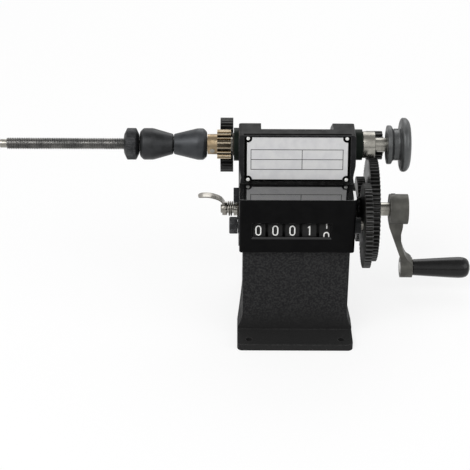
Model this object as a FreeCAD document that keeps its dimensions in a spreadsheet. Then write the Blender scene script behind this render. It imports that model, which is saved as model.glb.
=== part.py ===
import FreeCAD, Part
import Sketcher
import math
import os
import re

# Hand-cranked coil winding machine.
# The origin lies on the floor at the centre of the four base holes.
# X runs along every shaft towards the crank, Y to the back, Z up.

doc = FreeCAD.newDocument("coil_winder")

# Driving sizes, in millimetres, degrees and counts

SIZES = {
    # Where the shafts lie
    "spindle_y": 27.0,
    "spindle_z": 150.0,
    "crank_y": 34.2,
    "crank_z": 83.3,
    "counter_rise": 16.8,
    # Casting
    "body_width": 97.0,
    "cheek_wall": 8.0,
    "stem_inset": 3.75,
    "stem_wall": 7.0,
    "skirt_wall": 4.5,
    "skirt_setback": 4.0,
    "stem_rear": 48.0,
    "shelf_z": 85.0,
    "foot_spread": 0.8,
    "foot_depth": 130.0,
    "foot_plate": 6.0,
    "foot_corner": 4.5,
    "foot_lip": 37.0,
    "foot_taper": 46.0,
    "cove_radius": 33.0,
    "cove_height": 19.0,
    "cheek_front": 15.0,
    "cheek_foot": 62.0,
    "cheek_step": 12.0,
    "cheek_heel": 12.0,
    "face_lean": 14.2,
    "face_top_y": -6.9,
    "face_rise": 25.0,
    "face_wall": 6.0,
    "web_lap": 0.01,
    "block_setback": 3.0,
    "bar_depth": 12.0,
    "bar_height": 6.5,
    "lug_width": 18.5,
    "lug_depth": 23.2,
    "lug_round": 2.6,
    "scoop_depth": 1.8,
    "scoop_height": 20.5,
    "scoop_drop": 20.0,
    "housing_radius": 16.0,
    "layshaft_housing": 11.5,
    "crank_housing": 17.0,
    "recess_depth": 1.5,
    "recess_margin": 2.4,
    "base_hole": 5.5,
    "base_hole_inset_x": 10.0,
    "base_hole_inset_y": 8.5,
    # Name plate
    "plate_side_margin": 6.7,
    "plate_top_margin": 2.3,
    "plate_bottom_margin": 3.4,
    "plate_sheet": 1.0,
    "plate_notch": 3.4,
    "plate_screw_head": 2.9,
    "plate_screw_height": 0.9,
    "plate_screw_inset": 0.9,
    "plate_screw_drop": 0.2,
    # Gears
    "module": 1.25,
    "pressure_angle": 20.0,
    "crank_gear_teeth": 72,
    "layshaft_pinion_teeth": 18,
    "layshaft_gear_teeth": 36,
    "spindle_pinion_teeth": 18,
    "drive_gear_teeth": 44,
    "counter_gear_teeth": 55,
    "backlash": 0.30,
    "crank_gear_face": 8.0,
    "layshaft_pinion_face": 14.0,
    "layshaft_gear_face": 11.2,
    "spindle_pinion_face": 11.7,
    "drive_gear_face": 7.0,
    "counter_gear_face": 6.0,
    "gear_space": 2.5,
    "pinion_overlap": 1.5,
    "gear_washer": 1.6,
    # Spindle and what it carries
    "spindle_bore": 12.0,
    "rod_size": 10.0,
    "rod_reach": 204.0,
    "rod_tip_size": 7.3,
    "rod_tip_length": 6.0,
    "running_gap": 0.04,
    "end_gap": 0.4,
    "spindle_boss": 28.2,
    "left_boss_length": 4.3,
    "right_boss": 26.3,
    "right_boss_length": 8.0,
    "bush_wall": 3.0,
    "bush_flange": 1.2,
    "bush_flange_rise": 0.8,
    "pinion_hub": 17.4,
    "pinion_hub_length": 8.2,
    "pinion_end_gap": 1.3,
    "cone_size": 27.0,
    "cone_nose": 17.2,
    "cone_length": 28.4,
    "cone_land": 8.0,
    "cone_chamfer": 3.0,
    "nut_size": 27.0,
    "nut_length": 12.7,
    "nut_chamfer": 2.6,
    "collar_size": 22.9,
    "collar_length": 10.5,
    "pulley_start": 29.2,
    "pulley_small": 33.2,
    "pulley_groove": 26.7,
    "pulley_big": 46.2,
    "pulley_small_face": 5.3,
    "pulley_groove_face": 5.2,
    "pulley_big_face": 8.8,
    "pulley_rim_round": 2.6,
    "set_screw": 4.0,
    "set_screw_proud": 0.4,
    # Layshaft
    "layshaft_size": 10.0,
    "layshaft_boss": 19.0,
    "layshaft_left_boss": 3.4,
    "layshaft_right_boss": 12.0,
    "ring_width": 1.2,
    "ring_size": 15.0,
    # Crank
    "crank_shaft_size": 12.0,
    "crank_boss": 22.0,
    "crank_boss_length": 6.0,
    "crank_radius": 60.0,
    "crank_hub": 26.7,
    "crank_hub_start": 36.0,
    "crank_hub_length": 16.2,
    "crank_eye": 18.4,
    "web_inset": 0.4,
    "crank_eye_start": 49.0,
    "crank_eye_length": 10.8,
    "arm_thickness": 14.0,
    "grip_pin": 6.0,
    "grip_pin_head": 10.0,
    "grip_pin_head_depth": 1.2,
    "grip_pin_proud": 0.6,
    "grip_length": 51.2,
    "grip_neck": 14.5,
    "grip_end": 19.2,
    "grip_end_round": 7.0,
    # Drag spring and lever nut
    "drag_stub": 8.0,
    "drag_stub_length": 14.4,
    "drag_sleeve": 12.5,
    "drag_sleeve_length": 2.9,
    "spring_wire": 1.2,
    "spring_mean": 12.2,
    "spring_length": 5.5,
    "spring_pitch": 1.75,
    "lever_hub": 12.0,
    "lever_hub_length": 4.4,
    "lever_reach": 21.2,
    "lever_rise": 13.3,
    "lever_sheet": 1.3,
    "lever_width": 8.0,
    # Counter
    "case_inset": 0.5,
    "case_height": 50.0,
    "case_corner": 2.6,
    "case_front_wall": 1.6,
    "case_wall": 2.0,
    "case_lip": 7.4,
    "case_flange": 6.5,
    "window_left_margin": 2.7,
    "window_right_margin": 4.1,
    "window_height": 12.6,
    "window_rise": 5.6,
    "window_bevel": 1.3,
    "wheel_size": 35.0,
    "wheel_count": 5,
    "wheel_clearance": 0.55,
    "wheels_left_space": 6.75,
    "wheels_right_space": 14.75,
    "counter_shaft_size": 6.0,
    "sleeve_wall": 1.5,
    "counter_boss": 13.8,
    "counter_boss_length": 6.0,
    "counter_bush_step": 2.0,
    "counter_shaft_proud": 2.0,
    "reset_knob_size": 14.2,
    "reset_knob_length": 6.4,
    "carry_shaft_size": 3.0,
    "carry_angle": 75.0,
    "carry_clearance": 0.6,
    "carry_pinion": 12.0,
    "carry_pinion_face": 2.0,
    "carry_side_gap": 0.25,
    "carry_root_gap": 0.3,
    "carry_tooth": 1.5,
    "carry_teeth": 8,
    # Screws
    "bolt_flats": 13.0,
    "bolt_size": 8.0,
    "bolt_head": 4.4,
    "bolt_y": 17.0,
    "bolt_z": 105.8,
    "case_screw": 4.0,
    "case_screw_head": 7.0,
    "case_screw_length": 12.0,
    "case_screw_inset": 5.4,
    # Small amounts
    "edge_break": 0.6,
    "seat_gap": 0.05,
}

# Places that follow from the sizes

STATIONS = {
    "cheek_face": "body_width / 2",
    "cheek_inner": "body_width / 2 - cheek_wall",
    "stem_width": "body_width - 2 * stem_inset",
    "foot_width": "body_width + 2 * foot_spread",
    "base_hole_x": "foot_width - 2 * base_hole_inset_x",
    "base_hole_y": "foot_depth - 2 * base_hole_inset_y",
    "spindle_to_layshaft": "(layshaft_gear_teeth + spindle_pinion_teeth) * module / 2",
    "crank_to_layshaft": "(crank_gear_teeth + layshaft_pinion_teeth) * module / 2",
    "crank_to_counter": "(drive_gear_teeth + counter_gear_teeth) * module / 2",
    "drop_y": "crank_y - spindle_y",
    "drop_z": "crank_z - spindle_z",
    "drop": "sqrt(drop_y ^ 2 + drop_z ^ 2)",
    "layshaft_along": "(spindle_to_layshaft ^ 2 - crank_to_layshaft ^ 2 + drop ^ 2) / (2 * drop)",
    "layshaft_aside": "sqrt(spindle_to_layshaft ^ 2 - layshaft_along ^ 2)",
    "layshaft_y": "spindle_y + (drop_y * layshaft_along - drop_z * layshaft_aside) / drop",
    "layshaft_z": "spindle_z + (drop_z * layshaft_along + drop_y * layshaft_aside) / drop",
    "counter_y": "crank_y - sqrt(crank_to_counter ^ 2 - counter_rise ^ 2)",
    "counter_z": "crank_z + counter_rise",
    "grip_z": "crank_z - crank_radius",
    "foot_front": "-foot_depth / 2",
    "case_front": "counter_y - wheel_size / 2 - wheel_clearance - case_front_wall",
    "case_depth": "-cheek_front - case_front",
    "case_width": "body_width - 2 * case_inset",
    "case_screw_spread": "case_width - 2 * case_screw_inset",
    "case_top": "shelf_z + case_height",
    "skirt_front": "-case_front - skirt_setback",
    "face_top_z": "spindle_z + face_rise",
    "face_bottom_z": "case_top + seat_gap",
    "face_slope": "tan(face_lean)",
    "face_cosine": "cos(face_lean)",
    "face_bottom_y": "face_top_y - face_slope * (face_top_z - face_bottom_z)",
    "face_length": "(face_top_z - face_bottom_z) / face_cosine",
    "plate_width": "body_width - 2 * plate_side_margin",
    "plate_height": "face_length - plate_top_margin - plate_bottom_margin",
    "plate_shift": "(plate_bottom_margin - plate_top_margin) / 2",
    "lug_inner": "body_width / 2 - lug_width",
    "left_bush_end": "-cheek_face - left_boss_length - bush_flange",
    "layshaft_bush_end": "-cheek_face - layshaft_left_boss - bush_flange",
    "layshaft_gear_start": "layshaft_bush_end - end_gap / 2 - layshaft_gear_face",
    "spindle_pinion_end": "left_bush_end - pinion_end_gap",
    "spindle_pinion_start": "spindle_pinion_end - spindle_pinion_face",
    "hub_start": "spindle_pinion_start - pinion_hub_length",
    "inner_cone_end": "hub_start - end_gap",
    "inner_cone_start": "inner_cone_end - cone_length",
    "outer_cone_end": "inner_cone_start - end_gap",
    "outer_cone_start": "outer_cone_end - cone_length",
    "nut_end": "outer_cone_start - 2 * end_gap",
    "nut_start": "nut_end - nut_length",
    "rod_end": "-cheek_face - rod_reach",
    "rod_shoulder": "hub_start - end_gap / 2",
    "collar_start": "cheek_face + right_boss_length + end_gap",
    "collar_end": "collar_start + collar_length",
    "pulley_left": "cheek_face + pulley_start",
    "pulley_groove_start": "pulley_left + pulley_small_face",
    "pulley_big_start": "pulley_groove_start + pulley_groove_face",
    "pulley_right": "pulley_big_start + pulley_big_face",
    "drive_gear_start": "cheek_face + crank_boss_length + 1.5 * end_gap",
    "drive_gear_end": "drive_gear_start + drive_gear_face",
    "crank_gear_start": "drive_gear_end + gear_space",
    "crank_gear_end": "crank_gear_start + crank_gear_face",
    "layshaft_pinion_start": "crank_gear_start - pinion_overlap",
    "layshaft_pinion_end": "layshaft_pinion_start + layshaft_pinion_face",
    "layshaft_right": "layshaft_pinion_end + 3 * ring_width",
    "layshaft_left": "layshaft_gear_start - 3 * ring_width",
    "crank_hub_left": "cheek_face + crank_hub_start",
    "crank_hub_right": "crank_hub_left + crank_hub_length",
    "eye_left": "cheek_face + crank_eye_start",
    "eye_right": "eye_left + crank_eye_length",
    "grip_left": "eye_right + end_gap",
    "grip_right": "grip_left + grip_length",
    "crank_bush_end": "-cheek_face - bush_flange",
    "sleeve_right": "crank_bush_end - end_gap / 2",
    "sleeve_left": "sleeve_right - drag_sleeve_length",
    "spring_right": "sleeve_left - seat_gap",
    "spring_left": "spring_right - spring_length",
    "lever_right": "spring_left - seat_gap",
    "lever_left": "lever_right - lever_hub_length",
    "stub_left": "sleeve_right - drag_stub_length",
    "counter_gear_start": "drive_gear_start + (drive_gear_face - counter_gear_face) / 2",
    "counter_gear_end": "counter_gear_start + counter_gear_face",
    "wheels_left": "case_wall + wheels_left_space - case_width / 2",
    "wheels_right": "case_width / 2 - case_wall - wheels_right_space",
    "wheel_pitch": "(wheels_right - wheels_left) / wheel_count",
    "wheel_rim": "wheel_pitch - carry_pinion_face - 2 * carry_side_gap",
    "first_wheel_x": "wheels_left + wheel_pitch / 2",
    "window_left": "wheels_left + window_left_margin",
    "window_right": "wheels_right - window_right_margin",
    "window_z": "counter_z + window_rise",
    "carry_reach": "(wheel_size + carry_shaft_size) / 2 + carry_clearance",
    "carry_y": "counter_y + carry_reach * cos(carry_angle)",
    "carry_z": "counter_z + carry_reach * sin(carry_angle)",
    "sleeve_size": "counter_shaft_size + 2 * sleeve_wall",
    "counter_bush_radius": "counter_boss / 2 - counter_bush_step",
    "wheel_ring": "carry_reach - carry_pinion / 2 - carry_root_gap",
}


def write_sheet(name, cells, as_formula):
    """One spreadsheet with a named cell for each entry."""
    sheet = doc.addObject("Spreadsheet::Sheet", name)
    for row, (alias, content) in enumerate(cells.items(), start=1):
        sheet.set("A%d" % row, alias)
        sheet.set("B%d" % row, "=" + formula(content) if as_formula else str(content))
        sheet.setAlias("B%d" % row, alias)
    return sheet


def formula(text):
    """The expression with each cell's name led by the sheet that holds it."""
    def lead(found):
        word = found.group(0)
        if word in SIZES:
            return "Sizes." + word
        if word in STATIONS:
            return "Stations." + word if not WRITING_STATIONS else word
        return word
    return re.sub(r"[A-Za-z_][A-Za-z_0-9]*", lead, str(text))


WRITING_STATIONS = True
sizes = write_sheet("Sizes", SIZES, False)
stations = write_sheet("Stations", {
    alias: re.sub(r"(cos|sin|tan)\((\w+)\)", r"\1(\2 * 1 deg)", text) for alias, text in STATIONS.items()
}, True)
WRITING_STATIONS = False
doc.recompute()

PLACES = {alias: float(getattr(sizes, alias)) for alias in SIZES}
PLACES.update({alias: float(getattr(stations, alias)) for alias in STATIONS})


def value(text):
    """The number that an expression of cell names comes to."""
    names = re.findall(r"[A-Za-z_][A-Za-z_0-9]*", str(text))
    total = str(text)
    for name in sorted(set(names), key=len, reverse=True):
        total = re.sub(r"\b%s\b" % name, "(%r)" % PLACES[name], total)
    cell = scratch_cell
    stations.set(cell, "=" + total)
    doc.recompute([stations])
    return float(stations.get(cell))


# How far a rounded corner's points lie from it, along each side, as shares of its radius
ROUNDING = ((0, 1), (0.134, 0.5), (0.5, 0.134), (1, 0))

scratch_cell = "D1"
subparts = []


def keep(thing, label):
    """Mark a finished piece as one sub-part of the machine."""
    thing.Label = label
    subparts.append(thing)
    return thing


def bind(thing, **formulas):
    """Tie properties to the sheets; a double underscore stands for a dot."""
    for name, text in formulas.items():
        thing.setExpression(name.replace("__", "."), formula(text))
    return thing


def move(thing, x=None, y=None, z=None):
    """Tie the place of a piece to the sheets."""
    for axis, text in (("x", x), ("y", y), ("z", z)):
        if text is not None:
            thing.setExpression("Placement.Base." + axis, formula(text))
    return thing


def origin_plane(body, role):
    """The named plane of a body's own origin."""
    return [item for item in body.Origin.OriginFeatures if item.Role == role][0]


def outline_sketch(body, role, corners, offset="0"):
    """A closed outline of straight edges whose corners are tied to the sheets."""
    sketch = body.newObject("Sketcher::SketchObject", "Outline")
    sketch.AttachmentSupport = [(origin_plane(body, role), "")]
    sketch.MapMode = "FlatFace"
    sketch.setExpression("AttachmentOffset.Base.z", formula(offset))
    places = [FreeCAD.Vector(value(u), value(v), 0) for u, v in corners]
    count = len(corners)
    for index in range(count):
        sketch.addGeometry(Part.LineSegment(places[index], places[(index + 1) % count]), False)
    for index in range(count):
        sketch.addConstraint(Sketcher.Constraint("Coincident", index, 2, (index + 1) % count, 1))
    for index, corner in enumerate(corners):
        for kind, text, now in (
            ("DistanceX", corner[0], places[index].x),
            ("DistanceY", corner[1], places[index].y),
        ):
            number = sketch.addConstraint(Sketcher.Constraint(kind, -1, 1, index, 1, now))
            sketch.setExpression("Constraints[%d]" % number, formula(text))
    return sketch


def prism(name, role, corners, start, length):
    """An outline on one of the origin planes, padded from start along the plane's normal."""
    body = doc.addObject("PartDesign::Body", name)
    sketch = outline_sketch(body, role, corners, start)
    pad = body.newObject("PartDesign::Pad", "Pad")
    pad.Profile = sketch
    bind(pad, Length=length)
    body.Tip = pad
    return body


def turned(name, profile, y="0", z="0"):
    """A piece turned about a line along X; the profile gives (x, radius) corners."""
    body = doc.addObject("PartDesign::Body", name)
    sketch = outline_sketch(body, "XZ_Plane", profile)
    spin = body.newObject("PartDesign::Revolution", "Turned")
    spin.Profile = sketch
    spin.ReferenceAxis = (sketch, ["H_Axis"])
    spin.Angle = 360
    body.Tip = spin
    move(body, None, y, z)
    return body


def ring(name, inner, outer, start, end, y, z):
    """A plain turned ring between two stations on a shaft line."""
    profile = [(start, inner), (end, inner), (end, outer), (start, outer)]
    return turned(name, profile, y, z)


def rod(name, radius, start, length, y, z):
    """A plain round bar along X."""
    bar = doc.addObject("Part::Cylinder", name)
    bar.Placement = FreeCAD.Placement(FreeCAD.Vector(), FreeCAD.Rotation(FreeCAD.Vector(0, 1, 0), 90))
    bind(bar, Radius=radius, Height=length)
    return move(bar, start, y, z)


def block(name, x, y, z, length, width, height):
    """A plain box."""
    box = doc.addObject("Part::Box", name)
    bind(box, Length=length, Width=width, Height=height)
    return move(box, x, y, z)


def fused(name, pieces):
    """The union of several shapes."""
    joined = doc.addObject("Part::MultiFuse", name)
    joined.Shapes = pieces
    joined.Refine = True
    return joined


def cut(name, base, tools):
    """A shape with one or more others taken away."""
    result = doc.addObject("Part::Cut", name)
    result.Base = base
    result.Tool = tools[0] if len(tools) == 1 else fused(name + "_tools", tools)
    result.Refine = True
    return result


def group(name, pieces):
    """Like pieces that share one node as separate solids."""
    together = doc.addObject("Part::Compound", name)
    together.Links = pieces
    return together


def wheel_well():
    """The space that the number wheels turn in."""
    return rod("wheel_well", "wheel_size / 2 + 0.6 * wheel_clearance", "wheels_left - wheel_clearance",
               "wheels_right - wheels_left + 2 * wheel_clearance", "counter_y", "counter_z")


# Gears

def tooth_angle(teeth, number):
    """The angle between neighbouring teeth, times a number."""
    return number * 2 * math.pi / teeth


def meshing_phase(teeth, phase, mate_teeth, direction):
    """Where the mate's first tooth points so that it fills a gap of the first gear."""
    share = (direction - phase) / tooth_angle(teeth, 1) % 1
    return direction + math.pi - (0.5 - share) * tooth_angle(mate_teeth, 1)


def gear_outline(teeth, module, backlash, phase):
    """The closed outline of a spur gear in the YZ plane, with three points on each flank."""
    pitch_radius = teeth * module / 2
    base_radius = pitch_radius * math.cos(math.radians(PLACES["pressure_angle"]))
    tip_radius = pitch_radius + module
    root_depth = 1.25 * module
    root_radius = pitch_radius - root_depth
    half_at_pitch = math.pi / teeth / 2 - backlash / 2 / pitch_radius

    def half_angle(radius):
        """Half the angle that a tooth fills at a radius."""
        def involute(at):
            roll = math.acos(min(1.0, base_radius / at))
            return math.tan(roll) - roll
        return half_at_pitch + involute(pitch_radius) - involute(max(radius, base_radius))

    points = []
    low = max(root_radius, base_radius)
    flank = [root_radius, (low + tip_radius) / 2, tip_radius]
    for tooth in range(teeth):
        centre = phase + tooth_angle(teeth, tooth)
        sides = [(r, centre - half_angle(r)) for r in flank]
        sides += [(r, centre + half_angle(r)) for r in reversed(flank)]
        points += [FreeCAD.Vector(0, r * math.cos(a), r * math.sin(a)) for r, a in sides]
    points.append(points[0])
    return Part.makePolygon(points)


def gear(label, teeth_name, start, face, bore, y, z, phase, extras=()):
    """A spur gear about a line along X, with any hubs that are one piece with it."""
    teeth = int(PLACES[teeth_name])
    outline = gear_outline(teeth, PLACES["module"], PLACES["backlash"], phase)
    along = FreeCAD.Vector(1, 0, 0)
    solid = Part.Face(outline).extrude(along * value(face))
    solid.translate(along * value(start))
    for radius, from_x, length in extras:
        solid = solid.fuse(Part.makeCylinder(value(radius), value(length), along * value(from_x), along))
    reach = 2 * PLACES["body_width"]
    solid = solid.cut(Part.makeCylinder(value(bore), 2 * reach, along * -reach, along))
    wheel = doc.addObject("Part::Feature", label)
    wheel.Shape = solid
    wheel.Placement = FreeCAD.Placement(FreeCAD.Vector(0, value(y), value(z)), FreeCAD.Rotation())
    return keep(wheel, label)


# Casting: foot, stem, cheeks, leaning face, top bar with two lugs and the bearing housings

def foot():
    """The foot plate, wide at the front and as wide as the stem behind, with rounded corners."""
    half, stem = "foot_width / 2", "stem_width / 2"
    front, rear = "foot_front", "-foot_front"
    bend, narrow = "foot_front + foot_lip", "foot_front + foot_lip + foot_taper"
    right = [(half, front), (half, bend), (stem, narrow), (stem, rear)]
    left = [("-" + u, v) for u, v in reversed(right)]
    body = prism("foot", "XY_Plane", right + left, "0", "foot_plate")
    doc.recompute()
    pad = body.Tip
    upright = []
    for number, edge in enumerate(pad.Shape.Edges, start=1):
        ends = [vertex.Point for vertex in edge.Vertexes]
        at_end = all(abs(abs(point.y) - PLACES["foot_depth"] / 2) < 0.01 for point in ends)
        if at_end and abs(ends[0].z - ends[1].z) > 1:
            upright.append("Edge%d" % number)
    rounding = body.newObject("PartDesign::Fillet", "Corners")
    rounding.Base = (pad, upright)
    bind(rounding, Radius="foot_corner")
    body.Tip = rounding
    return body


def cove(side):
    """The round bar that leaves the flared foot of the stem on one side, lying along Y."""
    bar = doc.addObject("Part::Cylinder", "cove")
    bar.Placement = FreeCAD.Placement(FreeCAD.Vector(), FreeCAD.Rotation(FreeCAD.Vector(1, 0, 0), -90))
    bind(bar, Radius="cove_radius", Height="2 * foot_depth")
    return move(
        bar,
        "%d * (stem_width / 2 + cove_radius)" % side,
        "-foot_depth",
        "foot_plate + cove_height",
    )


def stem():
    """The stem under the counter: a wall in front and one at each side, open behind."""
    outer = block("stem_outer", "-foot_width / 2", "-skirt_front", "0",
                  "foot_width", "skirt_front + stem_rear", "shelf_z")
    reliefs = []
    for side in (1, -1):
        reliefs.append(cove(side))
        upper_x = "stem_width / 2" if side > 0 else "-stem_width / 2 - foot_width"
        reliefs.append(block("stem_side", upper_x, "-foot_depth", "foot_plate + cove_height",
                             "foot_width", "2 * foot_depth", "shelf_z"))
        wedge = [
            ("%d * foot_width / 2" % side, "foot_front + foot_lip"),
            ("%d * stem_width / 2" % side, "foot_front + foot_lip + foot_taper"),
            ("%d * stem_width / 2" % side, "foot_depth"),
            ("%d * foot_width" % side, "foot_depth"),
            ("%d * foot_width" % side, "foot_front + foot_lip"),
        ]
        reliefs.append(prism("stem_taper", "XY_Plane", wedge, "0", "shelf_z"))
    reliefs.append(block("stem_cavity", "stem_wall - stem_width / 2", "skirt_wall - skirt_front",
                         "foot_plate", "stem_width - 2 * stem_wall", "foot_depth", "2 * shelf_z"))
    return cut("stem", outer, reliefs)


def upper_frame():
    """Both cheeks, the leaning face and the bar on top of it."""
    side = [
        ("-cheek_front", "cheek_foot + cheek_step"),
        ("-cheek_front", "face_bottom_z"),
        ("face_bottom_y", "face_bottom_z"),
        ("face_top_y", "face_top_z"),
        ("face_top_y + lug_depth", "face_top_z"),
        ("spindle_y + 0.8 * housing_radius", "spindle_z + 0.6 * housing_radius"),
        ("layshaft_y + 0.7 * layshaft_housing", "layshaft_z + 0.7 * layshaft_housing"),
        ("layshaft_y + layshaft_housing", "layshaft_z"),
        ("layshaft_y + 0.6 * layshaft_housing", "layshaft_z - 0.9 * layshaft_housing"),
        ("crank_y + crank_housing", "crank_z + 0.5 * crank_housing"),
        ("crank_y + crank_housing", "cheek_foot"),
        ("cheek_heel", "cheek_foot"),
    ]
    outer = prism("frame_outer", "YZ_Plane", side, "-body_width / 2", "body_width")
    behind = "face_wall - recess_depth"
    hollow = [
        ("-foot_depth", "0"),
        ("-foot_depth", "face_bottom_z - web_lap"),
        ("face_bottom_y + " + behind, "face_bottom_z - web_lap"),
        ("face_top_y + %s - face_slope * bar_height" % behind, "face_top_z - bar_height"),
        ("face_top_y + bar_depth", "face_top_z - bar_height"),
        ("face_top_y + bar_depth", "2 * face_top_z"),
        ("foot_depth", "2 * face_top_z"),
        ("foot_depth", "0"),
    ]
    cavity = prism("frame_cavity", "YZ_Plane", hollow, "cheek_wall - body_width / 2",
                   "body_width - 2 * cheek_wall")
    return cut("frame", outer, [cavity])


def bearing_block(side):
    """The housing of one spindle bush, whose top is the lug beside the bar."""
    corners = [
        ("face_top_y + block_setback", "face_top_z - bar_height"),
        ("face_top_y + block_setback", "face_top_z"),
        ("face_top_y + lug_depth", "face_top_z"),
        ("spindle_y + 0.8 * housing_radius", "spindle_z + 0.6 * housing_radius"),
        ("spindle_y + 0.8 * housing_radius", "spindle_z - 0.6 * housing_radius"),
        ("spindle_y", "spindle_z - housing_radius"),
        ("spindle_y - 0.8 * housing_radius", "spindle_z - 0.6 * housing_radius"),
    ]
    start = "body_width / 2 - lug_width" if side > 0 else "-body_width / 2"
    return prism("bearing_block", "YZ_Plane", corners, start, "lug_width")


def flank_relief(side):
    """What leaves the side of one cheek: a shallow scoop under the bearing, and a round top corner."""
    face, beyond = "%d * cheek_face" % side, "%d * (cheek_face + lug_round)" % side
    low = "spindle_z - scoop_drop"
    scoop = [(face, low)]
    for height, depth in ((0.27, 0.6), (0.5, 1), (0.65, 0.75), (0.85, 0.25)):
        scoop.append(("%d * (cheek_face - %s * scoop_depth)" % (side, depth),
                      low + " + %s * scoop_height" % height))
    scoop += [(face, low + " + scoop_height"), (beyond, low + " + scoop_height"), (beyond, low)]
    corner = [(beyond, "face_top_z - lug_round")]
    for across, down in ROUNDING:
        corner.append(("%d * (cheek_face - %s * lug_round)" % (side, across),
                       "face_top_z - %s * lug_round" % down))
    corner += [("%d * (cheek_face - lug_round)" % side, "face_top_z + lug_round"),
               (beyond, "face_top_z + lug_round")]
    return [prism("flank_relief", "XZ_Plane", outline, "-foot_depth", "2 * foot_depth")
            for outline in (scoop, corner)]


def casting():
    """The stand in one casting, with its bores, base holes and plate recess."""
    left = "-cheek_face"
    frame = fused("frame_solids", [upper_frame(), bearing_block(1), bearing_block(-1)])
    solids = [foot(), stem(), cut("flanked_frame", frame, flank_relief(1) + flank_relief(-1))]
    bosses = [
        ("spindle_boss / 2", left + " - left_boss_length", "left_boss_length + cheek_wall", "spindle"),
        ("right_boss / 2", "cheek_inner", "right_boss_length + cheek_wall", "spindle"),
        ("layshaft_boss / 2", left + " - layshaft_left_boss", "layshaft_left_boss + cheek_wall",
         "layshaft"),
        ("layshaft_boss / 2", "cheek_inner", "layshaft_right_boss + cheek_wall", "layshaft"),
        ("crank_boss / 2", "cheek_inner", "crank_boss_length + cheek_wall", "crank"),
    ]
    for radius, start, length, line in bosses:
        solids.append(rod("boss", radius, start, length, line + "_y", line + "_z"))
    whole = fused("casting_solids", solids)
    tools = []
    for line, shaft in (("spindle", "spindle_bore"), ("layshaft", "layshaft_size"),
                        ("crank", "crank_shaft_size")):
        tools.append(rod("bore", shaft + " / 2 + bush_wall", "-body_width", "2 * body_width",
                         line + "_y", line + "_z"))
    tools.append(rod("bolt_bore", "bolt_size / 2", "-body_width", "body_width", "bolt_y", "bolt_z"))
    tools.append(wheel_well())
    for side_x in (-1, 1):
        for side_y in (-1, 1):
            hole = doc.addObject("Part::Cylinder", "base_hole")
            bind(hole, Radius="base_hole / 2", Height="foot_plate + 2")
            tools.append(move(hole, "%d * base_hole_x / 2" % side_x, "%d * base_hole_y / 2" % side_y, "-1"))
        screw_hole = doc.addObject("Part::Cylinder", "case_screw_hole")
        bind(screw_hole, Radius="case_screw / 2", Height="case_screw_length")
        tools.append(move(screw_hole, "%d * case_screw_spread / 2" % side_x,
                          "-skirt_front + skirt_wall / 2", "shelf_z + case_wall - case_screw_length"))
    low, high = "face_bottom_z + recess_margin / 2", "face_top_z - recess_margin / 2"
    floor = [
        ("face_bottom_y - 5", low),
        ("face_bottom_y + face_slope * (recess_margin / 2) + recess_depth", low),
        ("face_top_y - face_slope * (recess_margin / 2) + recess_depth", high),
        ("face_top_y - 5", high),
    ]
    tools.append(prism("recess", "YZ_Plane", floor, "-plate_width / 2 - recess_margin",
                       "plate_width + 2 * recess_margin"))
    return keep(cut("stand_casting", whole, tools), "stand_casting")


casting()


# Name plate: a bare sheet with notched corners and a screw in each notch

PLATE_CENTRE_Y = "(face_bottom_y + face_top_y) / 2 + recess_depth + plate_shift * face_slope * face_cosine"
PLATE_CENTRE_Z = "(face_bottom_z + face_top_z) / 2 + plate_shift * face_cosine"


def lean_back(thing):
    """Set a piece modelled upright at the origin against the leaning face."""
    thing.Placement = FreeCAD.Placement(FreeCAD.Vector(), FreeCAD.Rotation(FreeCAD.Vector(1, 0, 0), -10))
    bind(thing, Placement__Rotation__Angle="face_lean")
    thing.setExpression("Placement.Rotation.Axis.x", "-1")
    return move(thing, None, PLATE_CENTRE_Y, PLATE_CENTRE_Z)


def facing_bar(name, radius, x, z, start, length):
    """A round bar that stands off the plate, along its normal."""
    bar = doc.addObject("Part::Cylinder", name)
    bar.Placement = FreeCAD.Placement(FreeCAD.Vector(), FreeCAD.Rotation(FreeCAD.Vector(1, 0, 0), 90))
    bind(bar, Radius=radius, Height=length)
    return move(bar, x, start, z)


def name_plate():
    """The plate and its four round-headed screws."""
    sheet = block("plate_blank", "-plate_width / 2", "-plate_sheet", "-plate_height / 2",
                  "plate_width", "plate_sheet", "plate_height")
    notches = []
    heads = []
    for side_x in (-1, 1):
        for side_z in (-1, 1):
            x = "%d * (plate_width / 2 - plate_screw_inset)" % side_x
            z = "plate_height / 2 - plate_screw_inset"
            if side_z < 0:
                z = "-plate_height / 2 - plate_screw_drop"
            notches.append(facing_bar("notch", "plate_notch", x, z, "2 * plate_sheet", "4 * plate_sheet"))
            heads.append(facing_bar("plate_screw", "plate_screw_head / 2", x, z, "0",
                                    "plate_sheet + plate_screw_height"))
    keep(lean_back(cut("name_plate", sheet, notches)), "name_plate")
    keep(lean_back(group("name_plate_screws", heads)), "name_plate_screws")


name_plate()


# Bushes in the casting

def bush_pair(label, shaft, line, left_start, right_start, right_end, left_end="-cheek_inner"):
    """The two bushes of one shaft; the left one has a flange outside the casting."""
    y, z = line + "_y", line + "_z"
    inner = shaft + " / 2 + running_gap"
    outer = shaft + " / 2 + bush_wall"
    flange = [
        (left_start, inner),
        (left_end, inner),
        (left_end, outer),
        (left_start + " + bush_flange", outer),
        (left_start + " + bush_flange", outer + " + bush_flange_rise"),
        (left_start, outer + " + bush_flange_rise"),
    ]
    left = turned("left_bush", flange, y, z)
    right = ring("right_bush", inner, outer, right_start, right_end, y, z)
    return keep(group(label, [left, right]), label)


bush_pair("spindle_bushes", "spindle_bore", "spindle", "left_bush_end", "lug_inner",
          "cheek_face + right_boss_length", "-lug_inner")
bush_pair("layshaft_bushes", "layshaft_size", "layshaft", "layshaft_bush_end", "cheek_inner",
          "cheek_face + layshaft_right_boss")
bush_pair("crank_bushes", "crank_shaft_size", "crank", "crank_bush_end", "cheek_inner",
          "cheek_face + crank_boss_length")


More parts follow.
